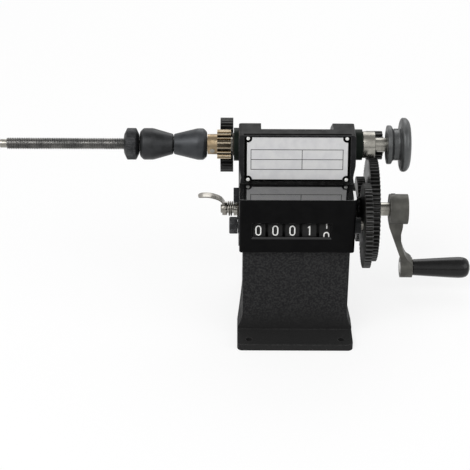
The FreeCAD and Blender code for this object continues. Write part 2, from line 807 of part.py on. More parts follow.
# Gear train: crank gear to layshaft pinion, layshaft gear to spindle pinion,
# and the crank's second gear to the counter gear

def direction(from_line, to_line):
    """The angle from one shaft to another, from +Y towards +Z."""
    rise = PLACES[to_line + "_z"] - PLACES[from_line + "_z"]
    return math.atan2(rise, PLACES[to_line + "_y"] - PLACES[from_line + "_y"])


TEETH = {name: int(PLACES[name]) for name in SIZES if name.endswith("_teeth")}
crank_phase = 0.0
pinion_phase = meshing_phase(TEETH["crank_gear_teeth"], crank_phase,
                             TEETH["layshaft_pinion_teeth"], direction("crank", "layshaft"))
layshaft_phase = 0.0
spindle_phase = meshing_phase(TEETH["layshaft_gear_teeth"], layshaft_phase,
                              TEETH["spindle_pinion_teeth"], direction("layshaft", "spindle"))
counter_phase = meshing_phase(TEETH["drive_gear_teeth"], crank_phase,
                              TEETH["counter_gear_teeth"], direction("crank", "counter"))

gear("crank_gear", "crank_gear_teeth", "crank_gear_start", "crank_gear_face",
     "crank_shaft_size / 2 + seat_gap", "crank_y", "crank_z", crank_phase)
gear("counter_drive_gear", "drive_gear_teeth", "drive_gear_start", "drive_gear_face",
     "crank_shaft_size / 2 + seat_gap", "crank_y", "crank_z", crank_phase)
gear("layshaft_pinion", "layshaft_pinion_teeth", "layshaft_pinion_start", "layshaft_pinion_face",
     "layshaft_size / 2 + seat_gap", "layshaft_y", "layshaft_z", pinion_phase)
gear("layshaft_gear", "layshaft_gear_teeth", "layshaft_gear_start", "layshaft_gear_face",
     "layshaft_size / 2 + seat_gap", "layshaft_y", "layshaft_z", layshaft_phase)
gear("spindle_pinion", "spindle_pinion_teeth", "spindle_pinion_start", "spindle_pinion_face",
     "spindle_bore / 2 + seat_gap", "spindle_y", "spindle_z", spindle_phase,
     extras=[("pinion_hub / 2", "hub_start", "pinion_hub_length + 1")])
gear("counter_gear", "counter_gear_teeth", "counter_gear_start", "counter_gear_face",
     "sleeve_size / 2 + seat_gap", "counter_y", "counter_z", counter_phase)


# Spindle line

def spindle_line():
    """The spindle with its screwed rod, and the pieces fixed or sliding on it."""
    line = ("spindle_y", "spindle_z")
    rod_radius, shaft_radius = "rod_size / 2", "spindle_bore / 2"
    profile = [
        ("rod_end", "0"),
        ("pulley_right", "0"),
        ("pulley_right", shaft_radius),
        ("rod_shoulder", shaft_radius),
        ("rod_shoulder", rod_radius),
        ("rod_end + rod_tip_length", rod_radius),
        ("rod_end + rod_tip_length", "rod_tip_size / 2"),
        ("rod_end + edge_break", "rod_tip_size / 2"),
        ("rod_end", "rod_tip_size / 2 - edge_break"),
    ]
    keep(turned("spindle", profile, *line), "spindle")
    bore = "rod_size / 2 + running_gap"
    inner_cone = [
        ("inner_cone_start", bore),
        ("inner_cone_end", bore),
        ("inner_cone_end", "cone_size / 2 - cone_chamfer"),
        ("inner_cone_end - cone_chamfer", "cone_size / 2"),
        ("inner_cone_end - cone_land", "cone_size / 2"),
        ("inner_cone_start", "cone_nose / 2"),
    ]
    keep(turned("inner_cone", inner_cone, *line), "inner_cone")
    outer_cone = [
        ("outer_cone_end", bore),
        ("outer_cone_start", bore),
        ("outer_cone_start", "cone_size / 2 - cone_chamfer"),
        ("outer_cone_start + cone_chamfer", "cone_size / 2"),
        ("outer_cone_start + 1.4 * cone_land", "cone_size / 2"),
        ("outer_cone_end", "cone_nose / 2"),
    ]
    keep(turned("outer_cone", outer_cone, *line), "outer_cone")
    nut = [
        ("nut_start", bore),
        ("nut_end", bore),
        ("nut_end", "nut_size / 2 - 2 * nut_chamfer"),
        ("nut_end - nut_chamfer", "nut_size / 2"),
        ("nut_start + nut_chamfer", "nut_size / 2"),
        ("nut_start", "nut_size / 2 - 2 * nut_chamfer"),
    ]
    keep(turned("knurled_nut", nut, *line), "knurled_nut")
    seat = shaft_radius + " + seat_gap"
    collar = [
        ("collar_start", seat),
        ("collar_end", seat),
        ("collar_end", "collar_size / 2 - edge_break"),
        ("collar_end - edge_break", "collar_size / 2"),
        ("collar_start + edge_break", "collar_size / 2"),
        ("collar_start", "collar_size / 2 - edge_break"),
    ]
    keep(turned("shaft_collar", collar, *line), "shaft_collar")
    round_off = "pulley_rim_round"
    pulley = [
        ("pulley_left", seat),
        ("pulley_right", seat),
        ("pulley_right", "pulley_big / 2 - 2 * " + round_off),
        ("pulley_right - 0.5 * " + round_off, "pulley_big / 2 - 0.8 * " + round_off),
        ("pulley_right - 1.5 * " + round_off, "pulley_big / 2"),
        ("pulley_big_start + " + round_off, "pulley_big / 2"),
        ("pulley_big_start + 0.4 * " + round_off, "pulley_big / 2 - 0.8 * " + round_off),
        ("pulley_big_start", "pulley_groove / 2"),
        ("pulley_groove_start", "pulley_groove / 2"),
        ("pulley_groove_start - 0.3 * pulley_small_face", "pulley_small / 2"),
        ("pulley_left + edge_break", "pulley_small / 2"),
        ("pulley_left", "pulley_small / 2 - edge_break"),
    ]
    keep(turned("drive_pulley", pulley, *line), "drive_pulley")


spindle_line()


# Layshaft

def layshaft_line():
    """The layshaft and the two rings that keep its gears on."""
    line = ("layshaft_y", "layshaft_z")
    keep(rod("layshaft", "layshaft_size / 2", "layshaft_left", "layshaft_right - layshaft_left", *line),
         "layshaft")
    inner, outer = "layshaft_size / 2 + seat_gap", "ring_size / 2"
    left = ring("left_ring", inner, outer, "layshaft_gear_start - end_gap / 2 - ring_width",
                "layshaft_gear_start - end_gap / 2", *line)
    right = ring("right_ring", inner, outer, "layshaft_pinion_end + end_gap / 2",
                 "layshaft_pinion_end + end_gap / 2 + ring_width", *line)
    keep(group("layshaft_rings", [left, right]), "layshaft_rings")


layshaft_line()


# Crank line

def crank_line():
    """The crank shaft, its spacers, arm, pin and grip."""
    line = ("crank_y", "crank_z")
    radius = "crank_shaft_size / 2"
    profile = [
        ("stub_left", "0"),
        ("crank_hub_right", "0"),
        ("crank_hub_right", radius),
        ("sleeve_right", radius),
        ("sleeve_right", "drag_stub / 2"),
        ("stub_left + edge_break", "drag_stub / 2"),
        ("stub_left", "drag_stub / 2 - edge_break"),
    ]
    keep(turned("crank_shaft", profile, *line), "crank_shaft")
    inner = radius + " + seat_gap"
    between = ring("gear_spacer", inner, "crank_shaft_size", "drive_gear_end + seat_gap",
                   "crank_gear_start - seat_gap", *line)
    outside = ring("gear_washer", inner, "1.1 * crank_shaft_size", "crank_gear_end + seat_gap",
                   "crank_gear_end + seat_gap + gear_washer", *line)
    keep(group("gear_spacers", [between, outside]), "gear_spacers")
    hub = rod("arm_hub", "crank_hub / 2", "crank_hub_left", "crank_hub_length", *line)
    eye = rod("arm_eye", "crank_eye / 2", "eye_left", "crank_eye_length", "crank_y", "grip_z")
    web = [
        ("crank_hub_left + web_inset", "crank_z"),
        ("crank_hub_left + web_inset", "crank_z - 0.25 * crank_radius"),
        ("eye_left + web_inset", "grip_z + 0.52 * crank_eye"),
        ("eye_left + web_inset", "grip_z"),
        ("eye_right - web_inset", "grip_z"),
        ("eye_right - web_inset", "grip_z + 0.43 * crank_eye"),
        ("eye_right - 0.21 * crank_eye_length", "grip_z + 0.53 * crank_eye"),
        ("eye_right - 0.48 * crank_eye_length", "grip_z + 0.64 * crank_eye"),
        ("eye_right - 0.73 * crank_eye_length", "grip_z + 0.275 * crank_radius"),
        ("eye_right - 0.94 * crank_eye_length", "grip_z + 0.387 * crank_radius"),
        ("crank_hub_left + 0.73 * crank_hub_length", "crank_z - 0.49 * crank_radius"),
        ("crank_hub_left + 0.70 * crank_hub_length", "crank_z - 0.37 * crank_radius"),
        ("crank_hub_left + 0.77 * crank_hub_length", "crank_z - 0.25 * crank_radius"),
        ("crank_hub_left + 0.79 * crank_hub_length", "crank_z"),
    ]
    arm = prism("arm_web", "XZ_Plane", web, "-crank_y - arm_thickness / 2", "arm_thickness")
    arm_solid = fused("arm_solids", [hub, eye, arm])
    bores = [
        rod("arm_bore", inner, "cheek_face", "body_width", *line),
        rod("pin_bore", "grip_pin / 2 + seat_gap", "cheek_face", "body_width", "crank_y", "grip_z"),
        rod("pin_head_bore", "grip_pin_head / 2 + seat_gap", "eye_left - grip_pin_head_depth",
            "2 * grip_pin_head_depth + seat_gap", "crank_y", "grip_z"),
    ]
    keep(cut("crank_arm", arm_solid, bores), "crank_arm")
    pin_radius = "grip_pin / 2"
    pin = [
        ("eye_left", "0"),
        ("grip_right + grip_pin_proud", "0"),
        ("grip_right + grip_pin_proud", pin_radius),
        ("eye_left + grip_pin_head_depth", pin_radius),
        ("eye_left + grip_pin_head_depth", "grip_pin_head / 2"),
        ("eye_left", "grip_pin_head / 2"),
    ]
    keep(turned("grip_pin", pin, "crank_y", "grip_z"), "grip_pin")
    grip_bore = pin_radius + " + running_gap"
    grip = [
        ("grip_left", grip_bore),
        ("grip_right", grip_bore),
        ("grip_right", "grip_end / 2 - grip_end_round * 0.75"),
        ("grip_right - 0.12 * grip_end_round", "grip_end / 2 - grip_end_round * 0.44"),
        ("grip_right - 0.4 * grip_end_round", "grip_end / 2 - grip_end_round * 0.14"),
        ("grip_right - grip_end_round", "grip_end / 2"),
        ("grip_left + 0.6 * grip_length", "grip_end / 2 - 0.6"),
        ("grip_left + edge_break", "grip_neck / 2"),
        ("grip_left", "grip_neck / 2 - edge_break"),
    ]
    keep(turned("hand_grip", grip, "crank_y", "grip_z"), "hand_grip")


crank_line()


# Drag spring, sleeve and lever nut on the crank shaft's left end

def helix_point(turn, radius, pitch, start):
    """A point on the spring's centre line and the unit direction there, by turns from its start."""
    angle = 2 * math.pi * turn
    spot = FreeCAD.Vector(start + pitch * turn, radius * math.cos(angle), radius * math.sin(angle))
    way = FreeCAD.Vector(pitch / (2 * math.pi), -radius * math.sin(angle), radius * math.cos(angle))
    return spot, way.normalize()


def tangent_arc(start, way, end):
    """The arc from start, leaving along way, to end."""
    chord = end - start
    across = chord - way * chord.dot(way)
    across.normalize()
    radius = chord.dot(chord) / (2 * chord.dot(across))
    centre = start + across * radius
    middle = (start + end) * 0.5 - centre
    middle.normalize()
    return Part.Arc(start, centre + middle * radius, end).toShape()


def biarc(start, way, end, end_way):
    """Two arcs that join two points and keep the direction at both."""
    gap = end - start
    ways = way + end_way
    spread = 2 * (1 - way.dot(end_way))
    reach = (math.sqrt(gap.dot(ways) ** 2 + spread * gap.dot(gap)) - gap.dot(ways)) / spread
    joint = (start + way * reach + end - end_way * reach) * 0.5
    first = tangent_arc(start, way, joint)
    middle_way = (joint - start - way * reach).normalize()
    return [first, tangent_arc(joint, middle_way, end)]


def drag_spring():
    """The open coil spring, one unbroken tube on quarter-turn biarcs."""
    wire = PLACES["spring_wire"]
    pitch = PLACES["spring_pitch"]
    radius = PLACES["spring_mean"] / 2
    turns = (PLACES["spring_length"] - wire) / pitch
    begin = PLACES["spring_left"] + wire / 2
    quarters = max(4, round(turns * 4))
    edges = []
    for number in range(quarters):
        here = helix_point(turns * number / quarters, radius, pitch, begin)
        there = helix_point(turns * (number + 1) / quarters, radius, pitch, begin)
        edges += biarc(here[0], here[1], there[0], there[1])
    path = Part.Wire(edges)
    first, way = helix_point(0, radius, pitch, begin)
    section = Part.Wire([Part.makeCircle(wire / 2, first, way)])
    shell = Part.BRepOffsetAPI.MakePipeShell(path)
    shell.add(section)
    shell.build()
    shell.makeSolid()
    spring = doc.addObject("Part::Feature", "drag_spring")
    spring.Shape = shell.shape()
    spring.Placement = FreeCAD.Placement(
        FreeCAD.Vector(0, PLACES["crank_y"], PLACES["crank_z"]), FreeCAD.Rotation())
    points = [helix_point(step / 24, radius, pitch, begin)[0] for step in range(int(turns * 24) + 1)]
    gaps = [a.distanceToPoint(b) - wire for i, a in enumerate(points) for b in points[i + 18:]]
    print("drag_spring least gap to itself %.2f mm, turns %.2f" % (min(gaps), turns))
    return keep(spring, "drag_spring")


def ribbon(places, sheet):
    """The outline of a bent strip of even thickness about a chain of points."""
    spots = [FreeCAD.Vector(value(u), value(v), 0) for u, v in places]
    sides = []
    for number in range(len(spots)):
        before = spots[number] - spots[max(number - 1, 0)]
        after = spots[min(number + 1, len(spots) - 1)] - spots[number]
        way = FreeCAD.Vector(0, 0, 0)
        for step in (before, after):
            if step.Length > 0:
                way += step * (1 / step.Length)
        way.normalize()
        sides.append((way.y, -way.x))
    near = []
    far = []
    for (u, v), (side_u, side_v) in zip(places, sides):
        near.append(("%s + %.5f * %s" % (u, side_u / 2, sheet), "%s + %.5f * %s" % (v, side_v / 2, sheet)))
        far.append(("%s + %.5f * %s" % (u, -side_u / 2, sheet), "%s + %.5f * %s" % (v, -side_v / 2, sheet)))
    return near + far[::-1]


def drag_pieces():
    """The sleeve under the spring and the stamped lever nut outside it."""
    line = ("crank_y", "crank_z")
    inner = "drag_stub / 2 + running_gap"
    keep(ring("drag_sleeve", inner, "drag_sleeve / 2", "sleeve_left", "sleeve_right - seat_gap", *line),
         "drag_sleeve")
    hub = ring("lever_hub", inner, "lever_hub / 2", "lever_left", "lever_right", *line)
    bend = [
        ("lever_left + 0.08 * lever_reach", "crank_z + 0.4 * lever_rise"),
        ("lever_left - 0.06 * lever_reach", "crank_z + 0.7 * lever_rise"),
        ("lever_left - 0.28 * lever_reach", "crank_z + 0.88 * lever_rise"),
        ("lever_left - 0.54 * lever_reach", "crank_z + 0.985 * lever_rise"),
        ("lever_left - 0.76 * lever_reach", "crank_z + lever_rise"),
        ("lever_left - lever_reach", "crank_z + 0.94 * lever_rise"),
    ]
    blade = prism("lever_ear", "XZ_Plane", ribbon(bend, "lever_sheet"), "-crank_y - lever_width / 2",
                  "lever_width")
    keep(fused("lever_nut", [hub, blade]), "lever_nut")


drag_spring()
drag_pieces()


# Counter

def counter_case():
    """The counter's case: front with a bevelled window, top, two ends and a lip underneath."""
    right = [("case_width / 2 - %s * case_corner" % across, "case_front + %s * case_corner" % behind)
             for across, behind in ROUNDING]
    left = [("%s * case_corner - case_width / 2" % across, "case_front + %s * case_corner" % behind)
            for across, behind in reversed(ROUNDING)]
    back = [("-case_width / 2", "case_front + case_depth"), ("case_width / 2", "case_front + case_depth")]
    outer = prism("case_outer", "XY_Plane", right + left + back, "shelf_z", "case_height")
    inner = block("case_inner", "case_wall - case_width / 2", "case_front + case_front_wall",
                  "shelf_z + case_wall", "case_width - 2 * case_wall", "2 * case_depth",
                  "case_height - 2 * case_wall")
    under = block("case_under", "case_wall + case_flange - case_width / 2", "case_front + case_lip", "0",
                  "case_width - 2 * case_wall - 2 * case_flange", "2 * case_depth",
                  "shelf_z + 2 * case_wall")
    window = block("window", "window_left", "case_front - case_front_wall", "window_z - window_height / 2",
                   "window_right - window_left", "3 * case_front_wall", "window_height")
    bevel = doc.addObject("Part::Wedge", "window_bevel")
    bind(
        bevel,
        Xmin="window_left - window_bevel",
        Xmax="window_right + window_bevel",
        X2min="window_left",
        X2max="window_right",
        Ymin="case_front",
        Ymax="case_front + 0.8 * case_front_wall",
        Zmin="window_z - window_height / 2 - window_bevel",
        Zmax="window_z + window_height / 2 + window_bevel",
        Z2min="window_z - window_height / 2",
        Z2max="window_z + window_height / 2",
    )
    left = rod("left_hole", "counter_bush_radius", "-case_width", "case_width", "counter_y", "counter_z")
    right = rod("right_hole", "counter_bush_radius", "0", "case_width", "counter_y", "counter_z")
    carry = rod("carry_hole", "carry_shaft_size / 2", "-case_width", "2 * case_width", "carry_y", "carry_z")
    tools = [inner, under, window, bevel, left, right, carry, wheel_well()]
    for side in (-1, 1):
        hole = doc.addObject("Part::Cylinder", "case_screw_clearance")
        bind(hole, Radius="case_screw / 2", Height="3 * case_wall")
        tools.append(move(hole, "%d * case_screw_spread / 2" % side, "-skirt_front + skirt_wall / 2",
                          "shelf_z - case_wall"))
    return keep(cut("counter_case", outer, tools), "counter_case")


def counter_line():
    """The counter shaft, knob, bushes, drive sleeve and number wheels."""
    line = ("counter_y", "counter_z")
    end = "case_width / 2"
    shaft_radius = "counter_shaft_size / 2"
    running = shaft_radius + " + running_gap"
    knob_right = "-%s - bush_flange - end_gap / 2" % end
    knob_left = knob_right + " - reset_knob_length"
    shaft_end = "counter_gear_end + counter_shaft_proud"
    keep(rod("counter_shaft", shaft_radius, knob_left, "(%s) - (%s)" % (shaft_end, knob_left), *line),
         "counter_shaft")
    knob = [
        (knob_left + " - edge_break", "0"),
        (knob_left + " - seat_gap", "0"),
        (knob_left + " - seat_gap", running),
        (knob_right, running),
        (knob_right, "reset_knob_size / 2"),
        (knob_left, "reset_knob_size / 2"),
        (knob_left + " - edge_break", "reset_knob_size / 2 - edge_break"),
    ]
    keep(turned("reset_knob", knob, *line), "reset_knob")
    bush_radius = "counter_bush_radius"
    left = turned("left_counter_bush", [
        ("-%s - bush_flange" % end, running),
        ("case_wall - %s" % end, running),
        ("case_wall - %s" % end, bush_radius),
        ("-%s" % end, bush_radius),
        ("-%s" % end, "counter_boss / 2"),
        ("-%s - bush_flange" % end, "counter_boss / 2"),
    ], *line)
    sleeve_running = "sleeve_size / 2 + running_gap"
    right = turned("right_counter_bush", [
        ("%s - case_wall" % end, sleeve_running),
        ("%s + counter_boss_length" % end, sleeve_running),
        ("%s + counter_boss_length" % end, "counter_boss / 2"),
        (end, "counter_boss / 2"),
        (end, bush_radius),
        ("%s - case_wall" % end, bush_radius),
    ], *line)
    keep(group("counter_bushes", [left, right]), "counter_bushes")
    keep(ring("drive_sleeve", running, "sleeve_size / 2", "wheels_right + 2 * seat_gap",
              "counter_gear_end + end_gap", *line),
         "drive_sleeve")


def number_wheel(label, index):
    """One number wheel: a wide rim, with a narrower ring at each end that leaves room for the pinions."""
    centre = "first_wheel_x + %d * wheel_pitch" % index
    rim_half, ring_half = "wheel_rim / 2", "(wheel_pitch / 2 - seat_gap)"
    bore = "counter_shaft_size / 2 + running_gap"
    profile = [
        (centre + " - " + ring_half, bore),
        (centre + " + " + ring_half, bore),
        (centre + " + " + ring_half, "wheel_ring"),
        (centre + " + " + rim_half, "wheel_ring"),
        (centre + " + " + rim_half, "wheel_size / 2"),
        (centre + " - " + rim_half, "wheel_size / 2"),
        (centre + " - " + rim_half, "wheel_ring"),
        (centre + " - " + ring_half, "wheel_ring"),
    ]
    return keep(turned(label, profile, "counter_y", "counter_z"), label)


def carry_pieces():
    """The carry shaft above the wheels and its small pinions in the gaps between them."""
    line = ("carry_y", "carry_z")
    keep(rod("carry_shaft", "carry_shaft_size / 2 - 0.05", "-case_width / 2", "case_width", *line),
         "carry_shaft")
    pinions = []
    for index in range(int(PLACES["wheel_count"]) - 1):
        centre = "first_wheel_x + %.1f * wheel_pitch" % (index + 0.5)
        body = ring("carry_pinion", "carry_shaft_size / 2", "0.62 * carry_pinion / 2",
                    centre + " - carry_pinion_face / 2", centre + " + carry_pinion_face / 2", *line)
        teeth = []
        for number in range(int(PLACES["carry_teeth"])):
            tooth = doc.addObject("Part::Box", "carry_tooth")
            angle = math.degrees(tooth_angle(int(PLACES["carry_teeth"]), number))
            turn = FreeCAD.Rotation(FreeCAD.Vector(1, 0, 0), angle)
            tooth.Placement = FreeCAD.Placement(FreeCAD.Vector(), turn)
            shift = turn.multVec(FreeCAD.Vector(0, -PLACES["carry_tooth"] / 2, 0))
            bind(tooth, Length="carry_pinion_face", Width="carry_tooth", Height="carry_pinion / 2")
            move(tooth, centre + " - carry_pinion_face / 2", "carry_y + %.6f" % shift.y,
                 "carry_z + %.6f" % shift.z)
            teeth.append(tooth)
        hole = rod("carry_hole", "carry_shaft_size / 2", "-case_width", "2 * case_width", *line)
        pinions.append(cut("carry_pinion", fused("carry_teeth", [body] + teeth), [hole]))
    keep(group("carry_pinions", pinions), "carry_pinions")


WHEEL_LABELS = ["number_wheel_ten_thousands", "number_wheel_thousands", "number_wheel_hundreds",
                "number_wheel_tens", "number_wheel_units"]

counter_case()
counter_line()
for wheel_index in range(int(PLACES["wheel_count"])):
    number_wheel(WHEEL_LABELS[wheel_index], wheel_index)
carry_pieces()


# Screws

def radial_screw(label, radius, inner, outer, x, line, angle):
    """A set screw in a hub, pointing at its shaft; the angle runs from +Y towards +Z."""
    screw = doc.addObject("Part::Cylinder", label)
    way = FreeCAD.Vector(0, math.cos(math.radians(angle)), math.sin(math.radians(angle)))
    screw.Placement = FreeCAD.Placement(FreeCAD.Vector(), FreeCAD.Rotation(FreeCAD.Vector(0, 0, 1), way))
    bind(screw, Radius=radius, Height="%s - (%s)" % (outer, inner))
    move(screw, x, "%s_y + %.6f * (%s)" % (line, way.y, inner), "%s_z + %.6f * (%s)" % (line, way.z, inner))
    return screw


def set_screw(label, holder_label, hub, shaft, x, line, angle):
    """A set screw, and the hole for it in the piece that it locks."""
    radius = "set_screw / 2"
    start, end = shaft + " / 2 + seat_gap", hub + " / 2 + set_screw_proud"
    screw = radial_screw(label, radius, start, end, x, line, angle)
    keep(screw, label)
    holder = [piece for piece in subparts if piece.Label == holder_label][0]
    tool = radial_screw(label + "_hole", radius, "0", hub, x, line, angle)
    subparts.remove(holder)
    holder.Label = holder_label + "_blank"
    keep(cut(holder_label, holder, [tool]), holder_label)


set_screw("pinion_set_screw", "spindle_pinion", "pinion_hub", "spindle_bore",
          "hub_start + pinion_hub_length / 2", "spindle", 193)
set_screw("collar_set_screw", "shaft_collar", "collar_size", "spindle_bore",
          "(collar_start + collar_end) / 2", "spindle", 300)
set_screw("pulley_set_screw", "drive_pulley", "pulley_groove", "spindle_bore",
          "(pulley_groove_start + pulley_big_start) / 2", "spindle", 60)
set_screw("crank_set_screw", "crank_arm", "crank_hub", "crank_shaft_size",
          "crank_hub_left + 3.4", "crank", 60)


def cheek_bolt():
    """The hexagon-headed bolt in the left cheek."""
    head = doc.addObject("Part::Prism", "bolt_head")
    head.Polygon = 6
    head.Placement = FreeCAD.Placement(FreeCAD.Vector(), FreeCAD.Rotation(FreeCAD.Vector(0, 1, 0), 90))
    bind(head, Circumradius="bolt_flats / sqrt(3)", Height="bolt_head")
    move(head, "-cheek_face - bolt_head", "bolt_y", "bolt_z")
    shank = rod("bolt_shank", "bolt_size / 2 - running_gap", "-cheek_face - 1", "cheek_wall + 3",
                "bolt_y", "bolt_z")
    return keep(fused("cheek_bolt", [head, shank]), "cheek_bolt")


def case_screws():
    """Two pan-headed screws that hold the counter's lip down on the stem."""
    screws = []
    for side in (-1, 1):
        x, y = "%d * case_screw_spread / 2" % side, "-skirt_front + skirt_wall / 2"
        shank = doc.addObject("Part::Cylinder", "case_screw_shank")
        bind(shank, Radius="case_screw / 2 - 0.05", Height="case_screw_length")
        move(shank, x, y, "shelf_z + case_wall - case_screw_length + 0.5")
        head = doc.addObject("Part::Cylinder", "case_screw_head")
        bind(head, Radius="case_screw_head / 2 - 1", Height="0.5 * case_screw")
        move(head, x, y, "shelf_z + case_wall")
        screws.append(fused("case_screw", [shank, head]))
    return keep(group("case_screws", screws), "case_screws")


cheek_bolt()
case_screws()


# Check everything, then write one file for each sub-part

stations.clear(scratch_cell)
doc.recompute()
faults = [item.Label for item in doc.Objects if "Invalid" in item.State or "Error" in item.State]
for piece in subparts:
    if piece.Shape.isNull() or not piece.Shape.isValid() or not piece.Shape.Solids:
        faults.append(piece.Label)
if faults:
    raise ValueError("these pieces failed: " + ", ".join(sorted(set(faults))))
os.makedirs("parts", exist_ok=True)
for piece in subparts:
    piece.Shape.exportStep("parts/%s.step" % piece.Label)
print("wrote %d sub-parts" % len(subparts))
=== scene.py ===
"""Dresses the hand-cranked coil winding machine.

Every solid gets a finish, and finer pieces stand in for some of them.
"""

import logging
import math
from dataclasses import dataclass, field
from enum import Enum

import bmesh
import bpy
from mathutils import Euler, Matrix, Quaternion, Vector

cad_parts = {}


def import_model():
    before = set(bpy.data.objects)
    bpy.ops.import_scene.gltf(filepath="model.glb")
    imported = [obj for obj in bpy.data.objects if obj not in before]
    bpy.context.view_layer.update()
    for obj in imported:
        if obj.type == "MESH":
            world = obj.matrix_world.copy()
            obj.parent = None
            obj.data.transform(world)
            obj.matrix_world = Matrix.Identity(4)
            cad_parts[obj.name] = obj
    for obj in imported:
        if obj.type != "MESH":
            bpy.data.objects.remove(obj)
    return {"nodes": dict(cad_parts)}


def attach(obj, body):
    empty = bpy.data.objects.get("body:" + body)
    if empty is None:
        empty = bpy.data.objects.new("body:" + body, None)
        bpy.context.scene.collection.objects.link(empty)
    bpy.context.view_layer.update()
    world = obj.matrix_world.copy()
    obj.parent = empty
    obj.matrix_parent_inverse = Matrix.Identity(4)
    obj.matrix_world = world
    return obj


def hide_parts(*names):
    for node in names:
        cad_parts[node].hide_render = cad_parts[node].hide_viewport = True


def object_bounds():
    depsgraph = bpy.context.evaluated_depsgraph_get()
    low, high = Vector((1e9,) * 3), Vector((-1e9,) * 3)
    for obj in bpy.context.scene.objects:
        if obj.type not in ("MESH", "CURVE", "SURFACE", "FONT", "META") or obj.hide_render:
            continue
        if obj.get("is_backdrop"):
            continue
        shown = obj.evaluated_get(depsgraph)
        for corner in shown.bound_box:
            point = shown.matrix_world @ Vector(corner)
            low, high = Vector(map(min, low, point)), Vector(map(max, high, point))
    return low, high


LOG = logging.getLogger("coil_winder")
MM = 0.001
GEAR_MODULE = 1.25
DEDENDUM = 1.25
Point = tuple[float, float]
Spot = tuple[float, float, float]
Colour = tuple[float, float, float]
Face = list[int]

# The solids by name, filled in when they are loaded
SOLIDS: dict[str, bpy.types.Object] = {}


class Line(Enum):
    """The shaft lines, each as (Y, Z) in millimetres; every line runs along X."""

    SPINDLE = (27.0, 150.0)
    CRANK = (34.2, 83.3)
    GRIP = (34.2, 23.3)
    LAYSHAFT = (57.077, 134.688)
    COUNTER = (-25.351, 100.1)


class Knurl(Enum):
    """How a turned rim is roughened."""

    NONE = 0
    STRAIGHT = 1


# Shared effects, as node groups


class Sheet:
    """A small helper that adds and links nodes in one node tree."""

    def __init__(self, tree: bpy.types.NodeTree) -> None:
        """Keeps the tree.

        Args:
            tree: The node tree to add to.
        """
        self.tree = tree

    def add(self, kind: str, **settings: object) -> bpy.types.Node:
        """Adds one node.

        Args:
            kind: The node's type name.
            settings: Properties to set on it.

        Returns:
            The new node.
        """
        node = self.tree.nodes.new(kind)
        for name, content in settings.items():
            setattr(node, name, content)
        return node

    def link(self, start: bpy.types.NodeSocket, end: bpy.types.NodeSocket) -> None:
        """Links an output to an input."""
        self.tree.links.new(start, end)

    def feed(self, content: object, socket: bpy.types.NodeSocket) -> None:
        """Links a socket to an input, or sets a number or colour on it.

        Args:
            content: A socket, a number or a colour.
            socket: The input.
        """
        if isinstance(content, bpy.types.NodeSocket):
            self.link(content, socket)
        else:
            socket.default_value = (*content, 1.0) if isinstance(content, tuple) else content

    def found(self, kind: str) -> bpy.types.Node:
        """The tree's first node of a type."""
        return next(node for node in self.tree.nodes if node.type == kind)

    def split(self, vector: bpy.types.NodeSocket) -> bpy.types.Node:
        """Adds a node that gives a vector's X, Y and Z.

        Args:
            vector: The vector's socket.

        Returns:
            The new node.
        """
        node = self.add("ShaderNodeSeparateXYZ")
        self.link(vector, node.inputs[0])
        return node

    def math(self, operation: str, first: object, second: object = 0.0, clamp: bool = False) -> object:
        """Adds a Math node.

        Args:
            operation: The operation's name.
            first: A socket or a number.
            second: A socket or a number.
            clamp: Whether the result stays between 0 and 1.

        Returns:
            The node's output socket.
        """
        node = self.add("ShaderNodeMath", operation=operation, use_clamp=clamp)
        for place, content in enumerate((first, second)):
            self.feed(content, node.inputs[place])
        return node.outputs[0]

    def span(self, value: object, low: float, high: float, to_low: float, to_high: float) -> object:
        """Adds a clamped Map Range node.

        Args:
            value: The socket to map.
            low: Start of the range that is read.
            high: End of the range that is read.
            to_low: What the start becomes.
            to_high: What the end becomes.

        Returns:
            The node's output socket.
        """
        node = self.add("ShaderNodeMapRange", clamp=True)
        self.link(value, node.inputs["Value"])
        for name, number in (("From Min", low), ("From Max", high), ("To Min", to_low), ("To Max", to_high)):
            node.inputs[name].default_value = number
        return node.outputs["Result"]

    def blend(self, amount: object, first: object, second: object) -> object:
        """Adds a colour mix.

        Args:
            amount: The share of the second colour, a socket.
            first: A colour or a socket.
            second: A colour or a socket.

        Returns:
            The mixed colour's socket.
        """
        node = self.add("ShaderNodeMix", data_type="RGBA")
        self.link(amount, node.inputs[0])
        for place, content in ((6, first), (7, second)):
            self.feed(content, node.inputs[place])
        return node.outputs[2]


